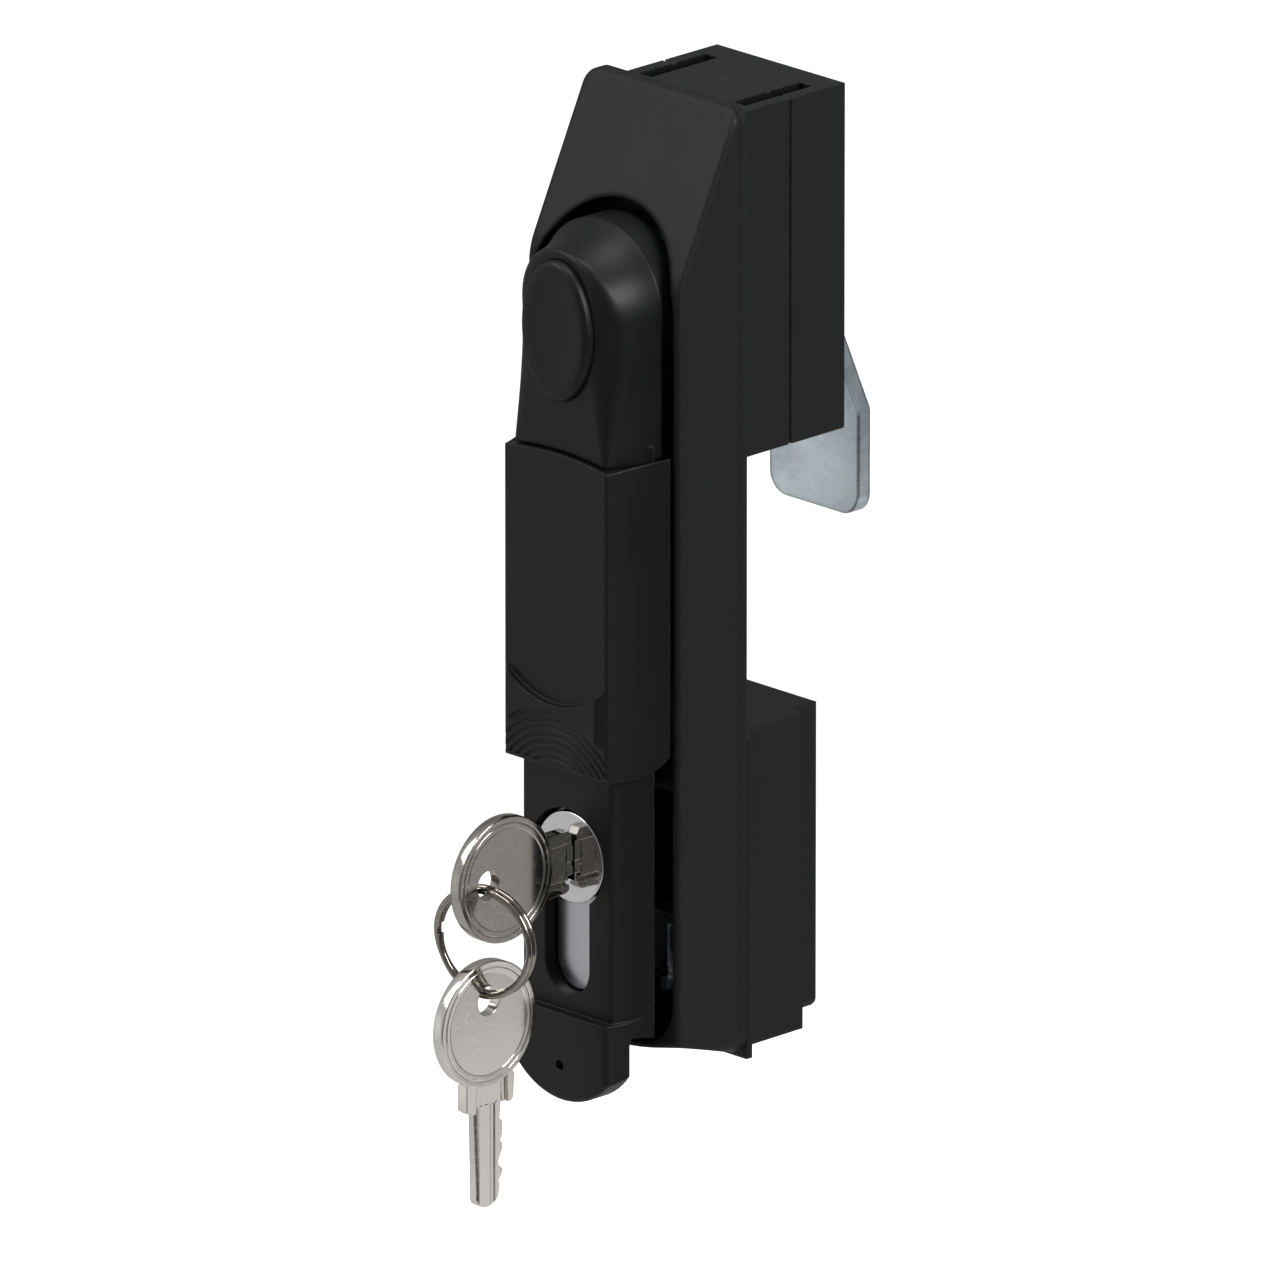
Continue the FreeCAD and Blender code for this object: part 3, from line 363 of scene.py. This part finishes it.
charcoal = (0.0052, 0.0054, 0.0055)
charcoal_worn = (0.026, 0.027, 0.027)
greenish_charcoal = (0.0054, 0.0061, 0.0060)
bearing_grey = (0.012, 0.012, 0.0125)
rubber, rubber_worn = (0.006, 0.006, 0.0062), (0.012, 0.012, 0.012)
handle_black = moulded("Handle black", charcoal, charcoal_worn, 0.42, 0.10, 0.45, 0.55)
base_black = moulded("Base black", charcoal, charcoal_worn, 0.46, 0.12, 1.3, 0.12)
box_black = moulded("Gearbox black", greenish_charcoal, charcoal_worn, 0.42, 0.08, 0.4, 0.6)
bush_black = moulded("Bearing black", bearing_grey, charcoal_worn, 0.38, 0.06, 0.2, 0.3)
gasket_rubber = moulded("Gasket rubber", rubber, rubber_worn, 0.72, 0.08, 0.3, 0.2)
moulded_finishes = (handle_black, base_black, box_black, bush_black, gasket_rubber)
say("moulded finishes", [finish.name for finish in moulded_finishes])

# %% [markdown]
# ## Metals
# Five metals show: cool zinc on the cam, warm nickel on the keys and the ring, chrome on
# the lock, plain bright steel on screws and pins, and brass in the thread inserts. Each is a
# full metal with its own tint. Roughness carries the character: crystals for zinc, scratches
# for the rest. The key in the lock takes a darker copy of the nickel, which is painted shade.
# The ring is drawn wire and has a darker nickel of its own, and the case of the lock is satin
# beside its polished plug.

# %% Metal materials
metal_bump_strength = 0.4


def metal(name, dark, light, roughness, spread, edge_mm, effect, bump_microns):
    """A metal between two tints. effect is the node group that mixes them and lifts the bump."""
    material, tree, shader = new_material(name)
    shader.inputs["Metallic"].default_value = 1.0
    pattern = place_group(tree, effect, (-4, 0))
    edges = place_group(tree, soft_edges, (-4, -2), Radius=edge_mm * MM)
    bump = add_node(tree, "ShaderNodeBump", (-2, -1), Strength=metal_bump_strength,
                    Distance=bump_microns * MICRON)
    wire(tree, pattern, 0, bump, "Height")
    wire(tree, edges, "Normal", bump, "Normal")
    wire(tree, bump, "Normal", shader, "Normal")
    tint = colour_mix(tree, (-2, 2))
    tint.inputs[COLOUR_A].default_value = opaque(dark)
    tint.inputs[COLOUR_B].default_value = opaque(light)
    wire(tree, pattern, 0, tint, 0)
    wire(tree, tint, COLOUR_OUT, shader, "Base Color")
    gloss = stretch_range(tree, (-2, 0), 0.0, 1.0, roughness - spread, roughness + spread)
    wire(tree, pattern, 0, gloss, "Value")
    wire(tree, gloss, "Result", shader, "Roughness")
    return material


zinc_plate = metal("Zinc plate", (0.34, 0.40, 0.44), (0.82, 0.90, 0.94), 0.24, 0.09, 0.9,
                   zinc_crystals, 20)
nickel = metal("Nickel", (0.78, 0.745, 0.70), (0.88, 0.845, 0.80), 0.14, 0.04, 0.3,
               fine_scratches, 6)
# A darker copy of the nickel for the key in the lock: painted shade.
shaded_copy_nickel = metal("Nickel with painted shade", (0.45, 0.42, 0.38), (0.56, 0.525, 0.48), 0.17, 0.05,
                       0.3, fine_scratches, 2.5)
wire_nickel = metal("Wire nickel", (0.31, 0.285, 0.25), (0.43, 0.40, 0.355), 0.13, 0.04,
                    0.1, fine_scratches, 5)
chrome = metal("Lock chrome", (0.66, 0.66, 0.67), (0.60, 0.60, 0.61), 0.10, 0.03, 0.2,
               fine_scratches, 4)
lock_satin = metal("Lock satin", (0.50, 0.50, 0.53), (0.56, 0.56, 0.59), 0.34, 0.05, 0.3,
                   fine_scratches, 6)
screw_steel = metal("Screw steel", (0.42, 0.42, 0.43), (0.55, 0.55, 0.56), 0.32, 0.06, 0.2,
                    fine_scratches, 8)
insert_brass = metal("Insert brass", (0.62, 0.44, 0.18), (0.76, 0.58, 0.28), 0.30, 0.06, 0.2,
                     fine_scratches, 8)
metal_finishes = (zinc_plate, nickel, shaded_copy_nickel, wire_nickel, chrome, lock_satin,
                  screw_steel, insert_brass)
say("metal finishes", [finish.name for finish in metal_finishes])

# %% [markdown]
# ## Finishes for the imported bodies
# The CAD nodes that stay keep their meshes and only take a finish. A line for each would do,
# but one table shows at a glance what shares a finish: the handle and its cover, the base
# and the housing behind the lock, the two halves of the gearbox, and the small steel parts.

# %% Dress the nodes
finish_of = {
    handle_black: ["handle", "sliding_cover"],
    base_black: ["base", "lower_housing"],
    box_black: ["gearbox_front_shell", "gearbox_rear_shell"],
    bush_black: ["spindle_bush", "drive_gear"],
    gasket_rubber: ["gasket"],
    zinc_plate: ["cam", "keeper", "lock_hook", "spindle"],
    screw_steel: ["gearbox_screws", "housing_screws", "cam_washer", "cam_screw", "hinge_pin",
                  "lift_spring", "lock_screws", "hook_pin", "plug_driver", "detent_spring"],
    chrome: ["lock_plug"],
    lock_satin: ["lock_body"],
    insert_brass: ["thread_inserts"],
}
for material, names in finish_of.items():
    for name in names:
        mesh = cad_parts[name].data
        mesh.materials.clear()
        mesh.materials.append(material)
say("nodes dressed", sum(len(names) for names in finish_of.values()))

# %% [markdown]
# ## Simple solids and booleans
# The keys need three small makers. One turns a profile, as a lathe does. One pushes a flat
# outline along an axis. Both build their faces in bmesh, row by row, as the cap does later
# on. The third joins or cuts two solids with a boolean, and takes the finished mesh at once,
# so that no modifier is left behind.

# %% Simple solids
joined_within = 1e-7


def finish_bmesh(name, form):
    """A new object from a bmesh, its faces turned outwards."""
    bmesh.ops.remove_doubles(form, verts=form.verts, dist=joined_within)
    bmesh.ops.recalc_face_normals(form, faces=form.faces)
    mesh = bpy.data.meshes.new(name)
    form.to_mesh(mesh)
    form.free()
    solid = bpy.data.objects.new(name, mesh)
    bpy.context.collection.objects.link(solid)
    return solid


def circle_angles(steps):
    return [2 * math.pi * step / steps for step in range(steps)]


def bridge_rows(form, rows):
    """Faces between each closed row of points and the next."""
    for row, following in zip(rows[:-1], rows[1:]):
        for step in range(len(row)):
            beside = (step + 1) % len(row)
            form.faces.new((row[step], row[beside], following[beside], following[step]))


def turned(name, profile, steps=128):
    """A solid of revolution about X. profile holds (radius, x), from axis to axis, in mm."""
    form = bmesh.new()
    rows = []
    for radius, x in profile:
        rows.append([form.verts.new((x * MM, radius * MM * math.cos(a),
                                     radius * MM * math.sin(a))) for a in circle_angles(steps)])
    bridge_rows(form, rows)
    return finish_bmesh(name, form)


def pushed(name, outline, along, start, end):
    """A flat outline pushed along an axis: (y, z) points along x, or (x, z) along y, in mm."""
    form = bmesh.new()
    rows = []
    for place in (start, end):
        spots = [(place, u, v) if along == "x" else (u, place, v) for u, v in outline]
        rows.append([form.verts.new([value * MM for value in spot]) for spot in spots])
    bridge_rows(form, rows)
    form.faces.new(rows[0])
    form.faces.new(list(reversed(rows[1])))
    return finish_bmesh(name, form)


def combine(body, tool, kind):
    """Joins, cuts or trims body with tool, and takes the tool away."""
    step = body.modifiers.new("combine", "BOOLEAN")
    step.operation = kind
    step.solver = "EXACT"
    step.object = tool
    graph = bpy.context.evaluated_depsgraph_get()
    mesh = bpy.data.meshes.new_from_object(body.evaluated_get(graph))
    body.modifiers.clear()
    body.data = mesh
    bpy.data.objects.remove(tool)
    return body


def shade(solid, material, angle):
    """Gives a finish, and smooths the shading up to an angle in degrees."""
    solid.data.materials.clear()
    solid.data.materials.append(material)
    solid.data.polygons.foreach_set("use_smooth", [True] * len(solid.data.polygons))
    solid.data.set_sharp_from_angle(angle=math.radians(angle))


# %% [markdown]
# ## The sizes of a key
# A flat cabinet key is stamped from sheet: a round bow with a raised rim, a neck with two
# wings that stop it at the plug, and a blade with milled faces and cuts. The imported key
# gives the bow's radius and thickness. The rest are sizes of usual keys, in mm, measured
# from the bow's centre along the key (y), and across it (z).

# %% Key sizes
bow_low, bow_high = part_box("inserted_key")
bow_r = (bow_high[2] - bow_low[2]) / 2 / MM
key_half = (bow_high[0] - bow_low[0]) / 2 / MM
near_axis = 0.001
shoulder_y = 16.0
neck_root_y = bow_r - 3
blade_half_thick, blade_half_wide = 1.0, 3.5
blade_groove_deep = 0.16
key_hole_r, key_hole_out = 2.6, 4.2
wing_half = 6.0
wing_sunk = 0.04
lower_wing = ((9.0, -3.0), (9.0, -5.2), (10.2, -wing_half), (14.4, 0.2 - wing_half),
              (15.0, 0.7 - wing_half), (15.0, -4.5), (14.6, -3.0))
upper_wing = ((9.0, 3.0), (9.0, 4.6), (10.6, wing_half - 0.7),
              (shoulder_y - 1.2, wing_half - 0.7), (shoulder_y - 0.4, wing_half - 1.9),
              (shoulder_y - 0.4, 3.0))
prong_groove = ((9.9, -4.5), (10.5, -3.6), (15.4, -3.6), (15.4, -4.4))
prong_groove_from, prong_groove_to = 0.3, 2.0
pin_cuts = ((1.6, 0.9), (2.6, 0.0), (3.9, 0.0), (5.7, 0.75), (6.6, 0.0), (9.2, 1.15),
            (10.0, 1.15), (11.1, 0.0), (12.9, 1.15), (14.1, 0.9))
say("bow radius and half thickness in mm", (round(bow_r, 2), round(key_half, 2)))

# %% [markdown]
# ## One key
# Each part of the key is one simple form: the bow is turned on a lathe, the blade is a
# section pushed along its length and trimmed to an outline, and the wings are small plates.
# Booleans join them into one mesh, as the real key is one piece of metal. The bow's face
# lies a little above the neck, because two faces in one plane would leave slivers. The
# turned profile starts a thousandth of a millimetre beside the axis, which leaves an opening
# too small to see in the middle of both faces.

# %% One key


def bow_profile():
    """Half a cut through the bow: sunk face, slope, land, fine groove and rim, both sides."""
    face_sunk, land_sunk, slope_sunk = 0.12, 0.02, 0.04
    face_edge, slope_edge = bow_r - 2.15, bow_r - 2.0
    groove_r, groove_half = bow_r - 1.1, 0.15
    rim_round = 0.18
    rim_corner = rim_round * 0.3
    face = key_half - face_sunk
    front = [(near_axis, face), (face_edge, face), (slope_edge, key_half - slope_sunk),
             (groove_r - groove_half, key_half - land_sunk), (groove_r, face),
             (groove_r + groove_half, key_half - land_sunk), (bow_r - rim_round, key_half),
             (bow_r - rim_corner, key_half - rim_corner), (bow_r, key_half - rim_round)]
    return front + [(radius, -x) for radius, x in reversed(front)]


def blade_section():
    """Cut across the blade: a chamfered back, a milled groove, and a thin cut side."""
    thick, wide = blade_half_thick, blade_half_wide
    chamfer, thinned_from = 0.25, 1.4
    groove_low, groove_high, groove_wall = -1.5, -0.4, 0.2
    bottom = thick - blade_groove_deep
    side = [(thick - chamfer, -wide), (thick, chamfer - wide), (thick, groove_low),
            (bottom, groove_low + groove_wall), (bottom, groove_high - groove_wall),
            (thick, groove_high), (thick, wide - thinned_from), (thick / 2, wide)]
    return side + [(-x, z) for x, z in reversed(side)]


def blade_outline(tip_y):
    """The blade seen from its side, with the cuts below and a round tip."""
    tip_long, tip_half, tip_middle = 2.0, 2.6, 0.25
    corner_back, corner_down = 2.6, 0.8
    uncut_end = 1.5
    first_angle, angle_step, arc_points = -70, 25, 7
    long = tip_y - shoulder_y
    points = [(neck_root_y, blade_half_wide), (neck_root_y, -blade_half_wide)]
    points += [(shoulder_y + y, deep - blade_half_wide) for y, deep in pin_cuts
               if y < long - uncut_end]
    for step in range(arc_points):
        turn = math.radians(first_angle + step * angle_step)
        points.append((tip_y - tip_long + tip_long * math.cos(turn),
                       tip_middle + tip_half * math.sin(turn)))
    points.append((tip_y - corner_back, blade_half_wide - corner_down))
    return points


def make_key(name, tip_y):
    """A key with its bow round the origin and its blade along Y."""
    key = turned(name, bow_profile())
    neck_end, overlap, outside = shoulder_y - 1.5, 0.2, 3
    neck = ((-blade_half_thick, -blade_half_wide), (blade_half_thick, -blade_half_wide),
            (blade_half_thick, blade_half_wide), (-blade_half_thick, blade_half_wide))
    key = combine(key, pushed("neck", neck, "y", neck_root_y, neck_end), "UNION")
    blade = pushed("blade", blade_section(), "y", neck_end - overlap, tip_y)
    trim = pushed("trim", blade_outline(tip_y), "x", -outside, outside)
    blade = combine(blade, trim, "INTERSECT")
    key = combine(key, blade, "UNION")
    for outline in (lower_wing, upper_wing):
        wing = pushed("wing", outline, "x", wing_sunk - key_half, key_half - wing_sunk)
        key = combine(key, wing, "UNION")
    for side in (-1, 1):
        groove = pushed("groove", prong_groove, "x",
                        *sorted((side * prong_groove_from, side * prong_groove_to)))
        key = combine(key, groove, "DIFFERENCE")
    hole = turned("hole", ((near_axis, -outside), (key_hole_r, -outside),
                           (key_hole_r, outside), (near_axis, outside)), steps=48)
    hole.location.y = -key_hole_out * MM
    bpy.context.view_layer.update()
    return combine(key, hole, "DIFFERENCE")


# %% [markdown]
# ## The two keys in place
# One key is in the lock, with its blade into the cabinet, and the other hangs on the ring
# with its blade down. The points of each mesh are moved into place, and the object itself
# stays at the origin. The smoothing angle is small, because the slope inside the rim is a
# shallow one and has to stay a crisp line on both sides.

# %% Place the keys
key_smooth_angle = 24


def place_key(key, metal_finish, turn, bow_centre, node, body):
    """Moves the key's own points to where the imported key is, so that the object stays put."""
    key.data.transform(Matrix.Translation(bow_centre) @ turn)
    shade(key, metal_finish, key_smooth_angle)
    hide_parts(node)
    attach(key, body)


lock_key_centre = Vector((0, bow_low[1] + bow_r * MM, (bow_low[2] + bow_high[2]) / 2))
lock_key = make_key("lock_key", (bow_high[1] - bow_low[1]) / MM - bow_r)
# The key in the lock takes the darker copy of the nickel, which is painted shade.
place_key(lock_key, shaded_copy_nickel, Matrix.Identity(4), lock_key_centre, "inserted_key",
          "key_unit")

spare_low, spare_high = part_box("spare_key")
hanging_centre = Vector((0, (spare_low[1] + spare_high[1]) / 2, spare_high[2] - bow_r * MM))
hanging_key = make_key("hanging_key", (spare_high[2] - spare_low[2]) / MM - bow_r)
hang = Matrix.Rotation(math.pi, 4, "Z") @ Matrix.Rotation(-math.pi / 2, 4, "X")
place_key(hanging_key, nickel, hang, hanging_centre, "spare_key", "spare_unit")
say("key faces", (len(lock_key.data.polygons), len(hanging_key.data.polygons)))

# %% [markdown]
# ## The split ring
# A key ring is spring wire wound round twice and pressed flat. The two turns lie side by
# side, and where one turn crosses over to the other there is a short kink. The cut end of
# the first turn springs inwards a little. A torus would miss all of that, so a curve follows
# the wire, turn by turn, and its bevel gives the round section.

# %% Wire ring
ring_turns, ring_steps = 1.97, 220
kink_half = 0.11
cut_end_angle = math.radians(178)
wire_fuller, strands_apart, wire_round = 1.06, 1.06, 1.02
sprung_wires, sprung_from, sprung_over = 1.5, 0.08, 0.2
ring_yaw = math.radians(14)
ring_smooth_angle = 60


def ease(value):
    """Rises smoothly from 0 to 1 as value does."""
    value = min(max(value, 0.0), 1.0)
    return value * value * (3 - 2 * value)


def ring_point(turn, mean_r, wire_r):
    """Where the wire's middle is after so many turns from its cut end."""
    angle = cut_end_angle + turn * 2 * math.pi
    side = ease((turn - (ring_turns / 2 - kink_half)) / (2 * kink_half)) * 2 - 1
    sprung = sprung_wires * wire_r * (1 - ease((turn - sprung_from) / sprung_over))
    radius = mean_r - sprung
    return radius * math.cos(angle), side * wire_r * strands_apart, radius * math.sin(angle)


def make_ring():
    lowest, highest = (Vector(corner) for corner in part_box("key_ring"))
    size = highest - lowest
    wire_r = size.y / 4 * wire_fuller
    mean_r = size.x / 2 - size.y / 4
    curve = bpy.data.curves.new("split_ring", "CURVE")
    curve.dimensions = "3D"
    spline = curve.splines.new("POLY")
    spline.points.add(ring_steps)
    for step in range(ring_steps + 1):
        spot = ring_point(step / ring_steps * ring_turns, mean_r, wire_r)
        spline.points[step].co = (*spot, 1)
    curve.bevel_depth = wire_r * wire_round
    curve.bevel_resolution = 5
    curve.use_fill_caps = True
    ring = bpy.data.objects.new("split_ring", curve)
    ring.location = (lowest + highest) / 2
    ring.rotation_euler.z = ring_yaw
    bpy.context.collection.objects.link(ring)
    say("ring wire in mm", round(2 * wire_r * wire_round / MM, 2))
    return ring


def as_mesh(curve_object):
    """Swaps a curve for a mesh of the same name, place and form."""
    bpy.context.view_layer.update()
    graph = bpy.context.evaluated_depsgraph_get()
    mesh = bpy.data.meshes.new_from_object(curve_object.evaluated_get(graph))
    name, place = curve_object.name, curve_object.matrix_world.copy()
    bpy.data.objects.remove(curve_object)
    solid = bpy.data.objects.new(name, mesh)
    solid.matrix_world = place
    bpy.context.collection.objects.link(solid)
    return solid


split_ring = as_mesh(make_ring())
shade(split_ring, wire_nickel, ring_smooth_angle)
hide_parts("key_ring")
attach(split_ring, "ring_unit")

# %% [markdown]
# ## The cap on the head
# The raised oval closes the head. Its wall is upright for half a millimetre and then rolls
# over into a face that sinks very slightly to its middle, which is what gives the cap its
# dark rim and its soft gleam. Rows of points on smaller and smaller ovals make that form,
# and the spacing of the rows follows the curve of the edge. Each row is given by how far in
# it lies and how far it stands out from the head's face.

# %% Oval cap
cap_rows = ((0.0, -0.9), (0.0, 0.55), (0.1, 0.95), (0.33, 1.28), (0.7, 1.5), (1.2, 1.6),
            (1.9, 1.6), (3.0, 1.52), (4.4, 1.43), (6.0, 1.37))
cap_middle_out = 1.35
cap_steps = 128
cap_smooth_angle = 35


def make_cap():
    """Ovals inset and lifted row by row from the head's face, closed by a point."""
    lowest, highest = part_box("head_cap")
    middle_z = (lowest[2] + highest[2]) / 2
    half_x, half_z = (highest[0] - lowest[0]) / 2, (highest[2] - lowest[2]) / 2
    face_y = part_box("handle")[0][1]
    form = bmesh.new()
    rows = []
    for inset, out in cap_rows:
        rows.append([form.verts.new(((half_x - inset * MM) * math.cos(a), face_y - out * MM,
                                     middle_z + (half_z - inset * MM) * math.sin(a)))
                     for a in circle_angles(cap_steps)])
    bridge_rows(form, rows)
    middle = form.verts.new((0, face_y - cap_middle_out * MM, middle_z))
    for step in range(cap_steps):
        form.faces.new((rows[-1][step], rows[-1][(step + 1) % cap_steps], middle))
    form.faces.new(list(reversed(rows[0])))
    return finish_bmesh("oval_cap", form)


oval_cap = make_cap()
shade(oval_cap, handle_black, cap_smooth_angle)
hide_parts("head_cap")
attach(oval_cap, "handle_unit")
say("cap faces", len(oval_cap.data.polygons))

# %% [markdown]
# ## The floor
# The photograph is a product shot on pure white, with no shadow. The floor is small and
# lies well below the handle. It throws some light up from below, as a white table does, and
# glows white for the camera alone, so that it doesn't show against the background.

# %% Floor
floor_drop, floor_half = 0.16, 0.4
floor_grey, floor_roughness = 0.55, 0.9
white = (1.0, 1.0, 1.0, 1.0)


def floor_material():
    material, tree, shader = new_material("Floor white")
    set_inputs(shader, {"Base Color": (floor_grey, floor_grey, floor_grey, 1.0),
                        "Roughness": floor_roughness, "Specular IOR Level": 0.0,
                        "Emission Color": white})
    path = add_node(tree, "ShaderNodeLightPath", (-3, 0))
    wire(tree, path, "Is Camera Ray", shader, "Emission Strength")
    return material


def make_floor():
    corners = ((-1, -1), (1, -1), (1, 1), (-1, 1))
    mesh = bpy.data.meshes.new("floor")
    mesh.from_pydata([(x * floor_half, y * floor_half, low.z - floor_drop)
                      for x, y in corners], [], [(0, 1, 2, 3)])
    mesh.materials.append(floor_material())
    plate = bpy.data.objects.new("floor", mesh)
    bpy.context.collection.objects.link(plate)
    return plate


floor = make_floor()
say("floor height in mm", round((low.z - floor_drop) / MM, 1))

# %% [markdown]
# ## The surroundings
# Black plastic and bright metal both live on what they mirror. The world is an even grey
# with soft patches in it, each given by a direction, how wide it is as the cosine of its
# edge, and how much lighter or darker it is than the rest. The patches at the front left,
# low behind on the right and overhead are bright. Low on the right it is darker, which gives
# the flanks of the handle their depth. The camera sees plain white instead, a little over
# one, so that the background stays pure white.

# %% World
world_level, background_level = 0.24, 1.1
world_patches = (
    ((-0.62, -0.62, 0.48), 0.55, 0.26),
    ((0.68, 0.67, -0.30), 0.86, 0.22),
    ((0.95, -0.05, -0.28), 0.80, -0.16),
    ((0.68, -0.67, -0.30), 0.80, -0.08),
    ((-0.68, -0.66, -0.30), 0.80, 0.34),
    ((0.0, 0.0, 1.0), 0.50, 0.20))


def build_world():
    world = bpy.data.worlds.new("Studio")
    bpy.context.scene.world = world
    world.use_nodes = True
    tree = world.node_tree
    background = tree.nodes["Background"]
    place = add_node(tree, "ShaderNodeTexCoord", (-6, 0))
    total = add_node(tree, "ShaderNodeValue", (-4, -1))
    total.outputs[0].default_value = world_level
    for step, (toward, edge, gain) in enumerate(world_patches):
        facing = maths(tree, "DOT_PRODUCT", (-5, step), "ShaderNodeVectorMath")
        facing.inputs[1].default_value = Vector(toward).normalized()
        wire(tree, place, "Generated", facing, 0)
        patch = stretch_range(tree, (-4, step), edge, 1.0, 0.0, gain)
        patch.interpolation_type = "SMOOTHSTEP"
        wire(tree, facing, "Value", patch, "Value")
        both = maths(tree, "ADD", (-3, step))
        wire(tree, total, 0, both, 0)
        wire(tree, patch, "Result", both, 1)
        total = both
    path = add_node(tree, "ShaderNodeLightPath", (-2, 2))
    strength = add_node(tree, "ShaderNodeMix", (-1, 0), B=background_level)
    wire(tree, path, "Is Camera Ray", strength, "Factor")
    wire(tree, total, 0, strength, "A")
    wire(tree, strength, "Result", background, "Strength")
    background.inputs["Color"].default_value = white


build_world()
say("patches in the world", len(world_patches))

# %% [markdown]
# ## The lamps
# Three large softboxes stand about a metre away: a key light at the front left and above, a
# fill straight above, and a rim light above on the right that draws the edges of the boxes
# and the round of the head. Large lamps give wide, soft gleams on the mouldings, as in the
# photograph, where small ones would give hard spots.

# %% Lamps


def soft_lamp(name, toward, away, size, watts):
    """A square softbox, away metres from the middle of the object, facing it."""
    lamp = bpy.data.lights.new(name, "AREA")
    lamp.size = size
    lamp.energy = watts
    holder = bpy.data.objects.new(name, lamp)
    middle = (low + high) / 2
    holder.location = middle + Vector(toward).normalized() * away
    holder.rotation_euler = (middle - holder.location).to_track_quat("-Z", "Y").to_euler()
    bpy.context.collection.objects.link(holder)


soft_lamp("key_softbox", (-0.55, -0.75, 0.85), away=1.1, size=0.7, watts=5.0)
soft_lamp("top_softbox", (0.1, 0.05, 1.0), away=1.0, size=0.5, watts=3.4)
soft_lamp("rim_softbox", (0.9, 0.14, 0.47), away=1.0, size=0.42, watts=7.5)
say("lamps", len(bpy.data.lights))

# %% [markdown]
# ## The camera
# The camera stands in front of the handle, to its right and a little above, and looks down
# on it through a very long lens from six metres, because the upright edges in the photograph
# stay parallel and the far box isn't smaller than the near handle. Its place was fitted to
# the outline in the photograph.

# %% Camera
azimuth, elevation = math.radians(45.46), math.radians(18.3)
camera_away, lens_mm, sensor_mm = 6.0, 986.7, 36.0
aim_right, aim_up = -0.00544, -0.06462
right = Vector((math.cos(azimuth), math.sin(azimuth), 0))
forward = Vector((-math.sin(azimuth) * math.cos(elevation),
                  math.cos(azimuth) * math.cos(elevation), -math.sin(elevation)))
aim = right * aim_right + Vector((0, 0, aim_up))
camera = bpy.data.cameras.new("camera")
camera.lens = lens_mm
camera.sensor_width = sensor_mm
camera_stand = bpy.data.objects.new("camera", camera)
camera_stand.location = aim - forward * camera_away
camera_stand.rotation_euler = forward.to_track_quat("-Z", "Y").to_euler()
bpy.context.collection.objects.link(camera_stand)
bpy.context.scene.camera = camera_stand
bpy.context.scene.view_settings.view_transform = "Standard"
say("camera at", [round(value, 3) for value in camera_stand.location])

# %% [markdown]
# Last, the script brings the scene up to date.

# %% Finish
bpy.context.view_layer.update()
